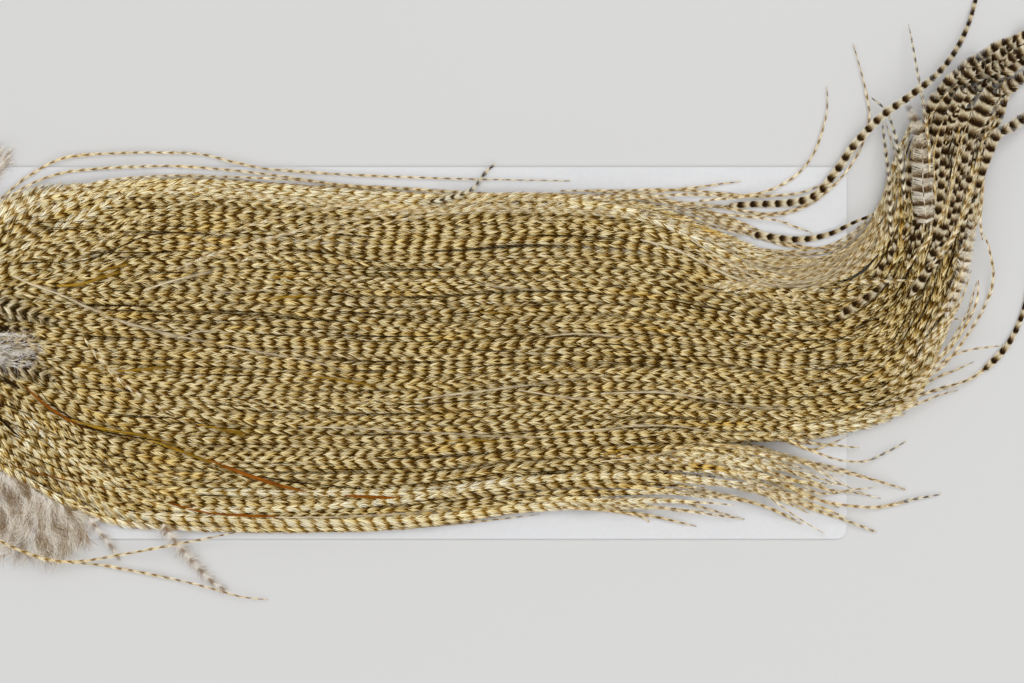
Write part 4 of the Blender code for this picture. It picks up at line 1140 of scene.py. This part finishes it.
# Broad soft feathers
WEBBY_SHAPE = (0.7, 1, 1, 0.9, 0.6, 0.2)
CURL_FEATHER_SHIFT = (-0.9, 0.0, 0.9)
webby_group = Blades()
soft_group = Blades()
downy_group = Blades()
for name, (width, points) in BROAD_FEATHERS.items():
    path = laid_path(name, points)
    strip = random.integers(STRIPS)
    offset = random.uniform(10, 300)
    if name == "webby_feather_01":
        path.points += CURL_FEATHER_SHIFT
        add_feather(soft_group, path, strip, offset, width * 0.5, 0.13, shape=(0.8, 1, 1, 0.85, 0.6, 0.3),
                    angle=(74, 72, 56), loose=0.15, droop=0.2, cover=1.2, thin=0.7, stretch=0.86)
    elif name in ("webby_feather_04", "webby_feather_05"):
        add_feather(downy_group, path, strip, offset, width * 0.8, 0.24, shape=(0.7, 1, 1, 0.8, 0.55, 0.25),
                    angle=(60, 54, 40), loose=0.5, droop=0.1, cover=0.6, thin=0.12)
        add_down(downy_group, path, strip, offset, width * 1.15, 0.24, angle=(66, 58, 40), width=0.05)
    else:
        add_feather(webby_group, path, strip, offset, width * 0.5, 0.2, shape=WEBBY_SHAPE, angle=(36, 32, 26),
                    loose=0.2, droop=0.2, cover=1.2, thin=0.6)
soft_path = pixel_path([(944, 322), (948, 305), (952, 292), (957, 280), (960, 267), (962, 257), (963.5, 247),
                        (967, 235), (969, 222)], 0.6)
add_feather(soft_group, soft_path, random.integers(STRIPS), 40.0, 1.9, 0.18, shape=(0.3, 0.9, 1, 1, 0.9, 0.4),
            angle=(50, 48, 40), loose=0.25, droop=0.2, cover=1.2, thin=0.6, stretch=1.12)
webby_group.build("webby_feathers", WEBBY, "down", ["webby_feather_02", "webby_feather_03"])
soft_group.build("soft_feathers", SOFT, "down", ["webby_feather_01"])
downy_group.build("downy_feathers", BLOTCHED, "down", ["webby_feather_04", "webby_feather_05"])

# Short feathers over the roots: broad and barred beside the fluff, slim and like the rest elsewhere
FRONT_ROWS = 16
FRONT_COLUMNS = 4
FRONT_STEP = 0.5
BROAD_SHARES = ((0.28, 0.47), (0.56, 0.68))
front_group = Blades()
root_group = Blades()
for row in range(FRONT_ROWS):
    for column in range(FRONT_COLUMNS):
        share = (row + random.uniform(0.2, 0.8)) / FRONT_ROWS
        start = random.uniform(0.0, 0.4) + FRONT_STEP * column
        broad = any(low < share < high for low, high in BROAD_SHARES)
        path, first, _ = sheaf_path(share, start, start + random.uniform(1.1, 1.5), 1.0, spread=2.4,
                                    lift=0.9 if broad else 0.5)
        if broad:
            add_feather(front_group, path, random.integers(STRIPS), first, random.uniform(1.3, 1.8), 0.26,
                        shape=WEBBY_SHAPE, angle=(34, 28, 22), loose=0.25, droop=0.2, cover=1.1, thin=0.5)
        else:
            add_feather(root_group, path, random.integers(STRIPS), first + 8, random.uniform(1.1, 1.5), 0.45,
                        shape=WEBBY_SHAPE, angle=(24, 20, 18), loose=0.2, droop=0.25)
front_group.build("hackles_front", WEBBY, "down", ["hackle_sheaf"])
root_group.build("hackles_root", GINGER, "barred_hackle", ["hackle_sheaf"])


# Tufts of down

FUZZ_STRIP = 5
FUZZ_STEPS = 4
FUZZ_WIDTH = 0.085
STREAK_COUNT = 9.0


def add_fuzz(blades, count, root_line, tip_line, heights, length):
    """Short curled fibres scattered between two lines of pixels, tinted in clumps."""
    share = random.uniform(0, 1, count)
    out = 0.95 * random.uniform(0, 1, count)[:, None] ** 1.3
    roots = along(root_line, share * (len(root_line) - 1))
    tips = along(tip_line, share * (len(tip_line) - 1))
    plan = on_model(mix(roots, tips, out))
    outward = (tips - roots) * (1, -1)
    flow = 0.7 * np.sin(math.tau * (2.3 * share + 0.8 * out[:, 0]))
    heading = np.arctan2(outward[:, 1], outward[:, 0]) + flow + random.normal(0, 0.4, count)
    bend = random.uniform(-1.1, 1.1, count)
    reach = random.uniform(*length, count)
    place = np.column_stack([plan, mix(heights[0], heights[1], out[:, 0]) + random.uniform(-0.6, 1.0, count)])
    lines = [place]
    for k in range(FUZZ_STEPS):
        turn = heading + bend * (k + 0.5) / FUZZ_STEPS
        rise = random.uniform(-0.3, 0.35, count)
        step = np.column_stack([np.cos(turn), np.sin(turn), rise]) * (reach / FUZZ_STEPS)[:, None]
        lines.append(lines[-1] + step)
    streak = math.tau * (STREAK_COUNT * share + 0.9 * np.sin(3.1 * out[:, 0] + 5.0 * share))
    clump = 200 + 2.2 * np.sin(streak) + 2.2 * np.sin(0.43 * streak + 11.0 * out[:, 0])
    clump = clump + random.normal(0, 0.45, count)
    sides = random.choice((-0.3, 0.3), count)
    add_ribbons(blades, np.stack(lines, axis=1), FUZZ_WIDTH, FUZZ_STRIP, clump, sides)


def down_tuft(name, material, nodes, feathers, *fuzz):
    """A tuft of soft feathers: each is a root and a tip in pixels, root and tip heights, and a half width."""
    group = Blades()
    add_fuzz(group, *fuzz)
    for root, tip, low, high, half in feathers:
        a, b = on_model(root), on_model(tip)
        t = np.linspace(0, 1, 24)[:, None]
        normal = np.array([-(b - a)[1], (b - a)[0]]) / np.linalg.norm(b - a)
        plan = mix(a, b, t) + normal * (random.uniform(-1.5, 1.5) * np.sin(math.pi * t))
        z = mix(low, high, t[:, 0]) + random.uniform(0, 1.2) * np.sin(math.pi * t[:, 0])
        path = Path(np.column_stack([plan, z]), random.uniform(-0.35, 0.35))
        add_down(group, path, random.integers(STRIPS), random.uniform(10, 400), half, 0.2)
    group.build(name, material, "down", nodes)


def scatter_tuft(count, root_line, tip_line, reach, heights, half):
    """Roots and tips of a tuft's feathers, spread evenly along two lines."""
    feathers = []
    for index in range(count):
        share = (index + random.uniform(0.1, 0.9)) / count
        root = along(root_line, share * (len(root_line) - 1))[0]
        tip = along(tip_line, share * (len(tip_line) - 1))[0]
        tip = mix(root, tip, random.uniform(*reach))
        feathers.append((root, tip, heights[0], heights[1], random.uniform(*half)))
    return feathers


LOWER_ROOTS = [(-60, 455), (-20, 465), (15, 478), (45, 496), (76, 513)]
LOWER_TIPS = [(-70, 535), (-35, 560), (12, 560), (54, 562), (88, 538)]
UPPER_ROOTS = [(-70, 225), (-50, 218), (-28, 208), (-10, 196)]
UPPER_TIPS = [(-80, 185), (-55, 160), (-22, 143), (12, 150)]
FRONT_ROOTS = [(-60, 335), (-50, 350), (-60, 365)]
FRONT_TIPS = [(34, 332), (48, 349), (32, 366)]
down_tuft("down_lower", DOWN, ["down_tuft_lower"],
          scatter_tuft(16, LOWER_ROOTS, LOWER_TIPS, (0.45, 1.0), (2.8, 1.5), (3.0, 5.5)),
          5200, LOWER_ROOTS, LOWER_TIPS, (4.2, 2.2), (2.2, 5.4))
down_tuft("down_upper", DOWN, ["down_tuft_upper"],
          scatter_tuft(12, UPPER_ROOTS, UPPER_TIPS, (0.6, 1.0), (3.4, 2.6), (3, 5)),
          900, UPPER_ROOTS, UPPER_TIPS, (3.6, 2.8), (2.0, 4.5))
down_tuft("down_front", FLUFF, [],
          scatter_tuft(5, FRONT_ROOTS, FRONT_TIPS, (0.7, 0.95), (12.3, 11.4), (2.5, 4.0)),
          1100, FRONT_ROOTS, FRONT_TIPS, (12.6, 11.8), (1.8, 4.0))


# Card, skin and floor

for name, material in (("backing_card", card_material()), ("saddle_skin", hide_material())):
    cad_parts[name].data.materials.clear()
    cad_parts[name].data.materials.append(material)

FLOOR_SIZE = 6.0
FLOOR_LEVEL = -0.0002
bpy.ops.mesh.primitive_plane_add(size=FLOOR_SIZE, location=(0.0, 0.0, FLOOR_LEVEL))
floor = bpy.context.object
floor.name = "floor"
floor.data.materials.append(floor_material())


# Camera and light

camera = bpy.data.objects.new("camera", bpy.data.cameras.new("camera"))
bpy.context.scene.collection.objects.link(camera)
centre = on_model((PHOTO_SIZE[0] / 2, PHOTO_SIZE[1] / 2))
camera.location = (centre[0] * MM, centre[1] * MM, CAMERA_HEIGHT * MM)
camera.data.sensor_width = SENSOR
camera.data.lens = SENSOR * (CAMERA_HEIGHT - FOCUS_HEIGHT) / (PHOTO_SIZE[0] * PIXEL)
bpy.context.scene.camera = camera


LIGHT_TARGET = Vector((0.06, 0.0, 0.0))


def area_light(name, place, size, power):
    data = bpy.data.lights.new(name, "AREA")
    data.shape = "DISK"
    data.size = size
    data.energy = power
    light = bpy.data.objects.new(name, data)
    light.location = place
    light.rotation_euler = (LIGHT_TARGET - Vector(place)).to_track_quat("-Z", "Y").to_euler()
    bpy.context.scene.collection.objects.link(light)


area_light("soft_box", (0.45, 0.60, 1.6), 1.2, 11.0)
area_light("fill_box", (0.05, -0.85, 1.4), 1.4, 7.0)
world = bpy.data.worlds.new("studio")
world.use_nodes = True
background = world.node_tree.nodes["Background"]
background.inputs["Color"].default_value = (1.0, 1.0, 1.0, 1.0)
background.inputs["Strength"].default_value = 0.60
bpy.context.scene.world = world
bpy.context.scene.view_settings.view_transform = "Standard"
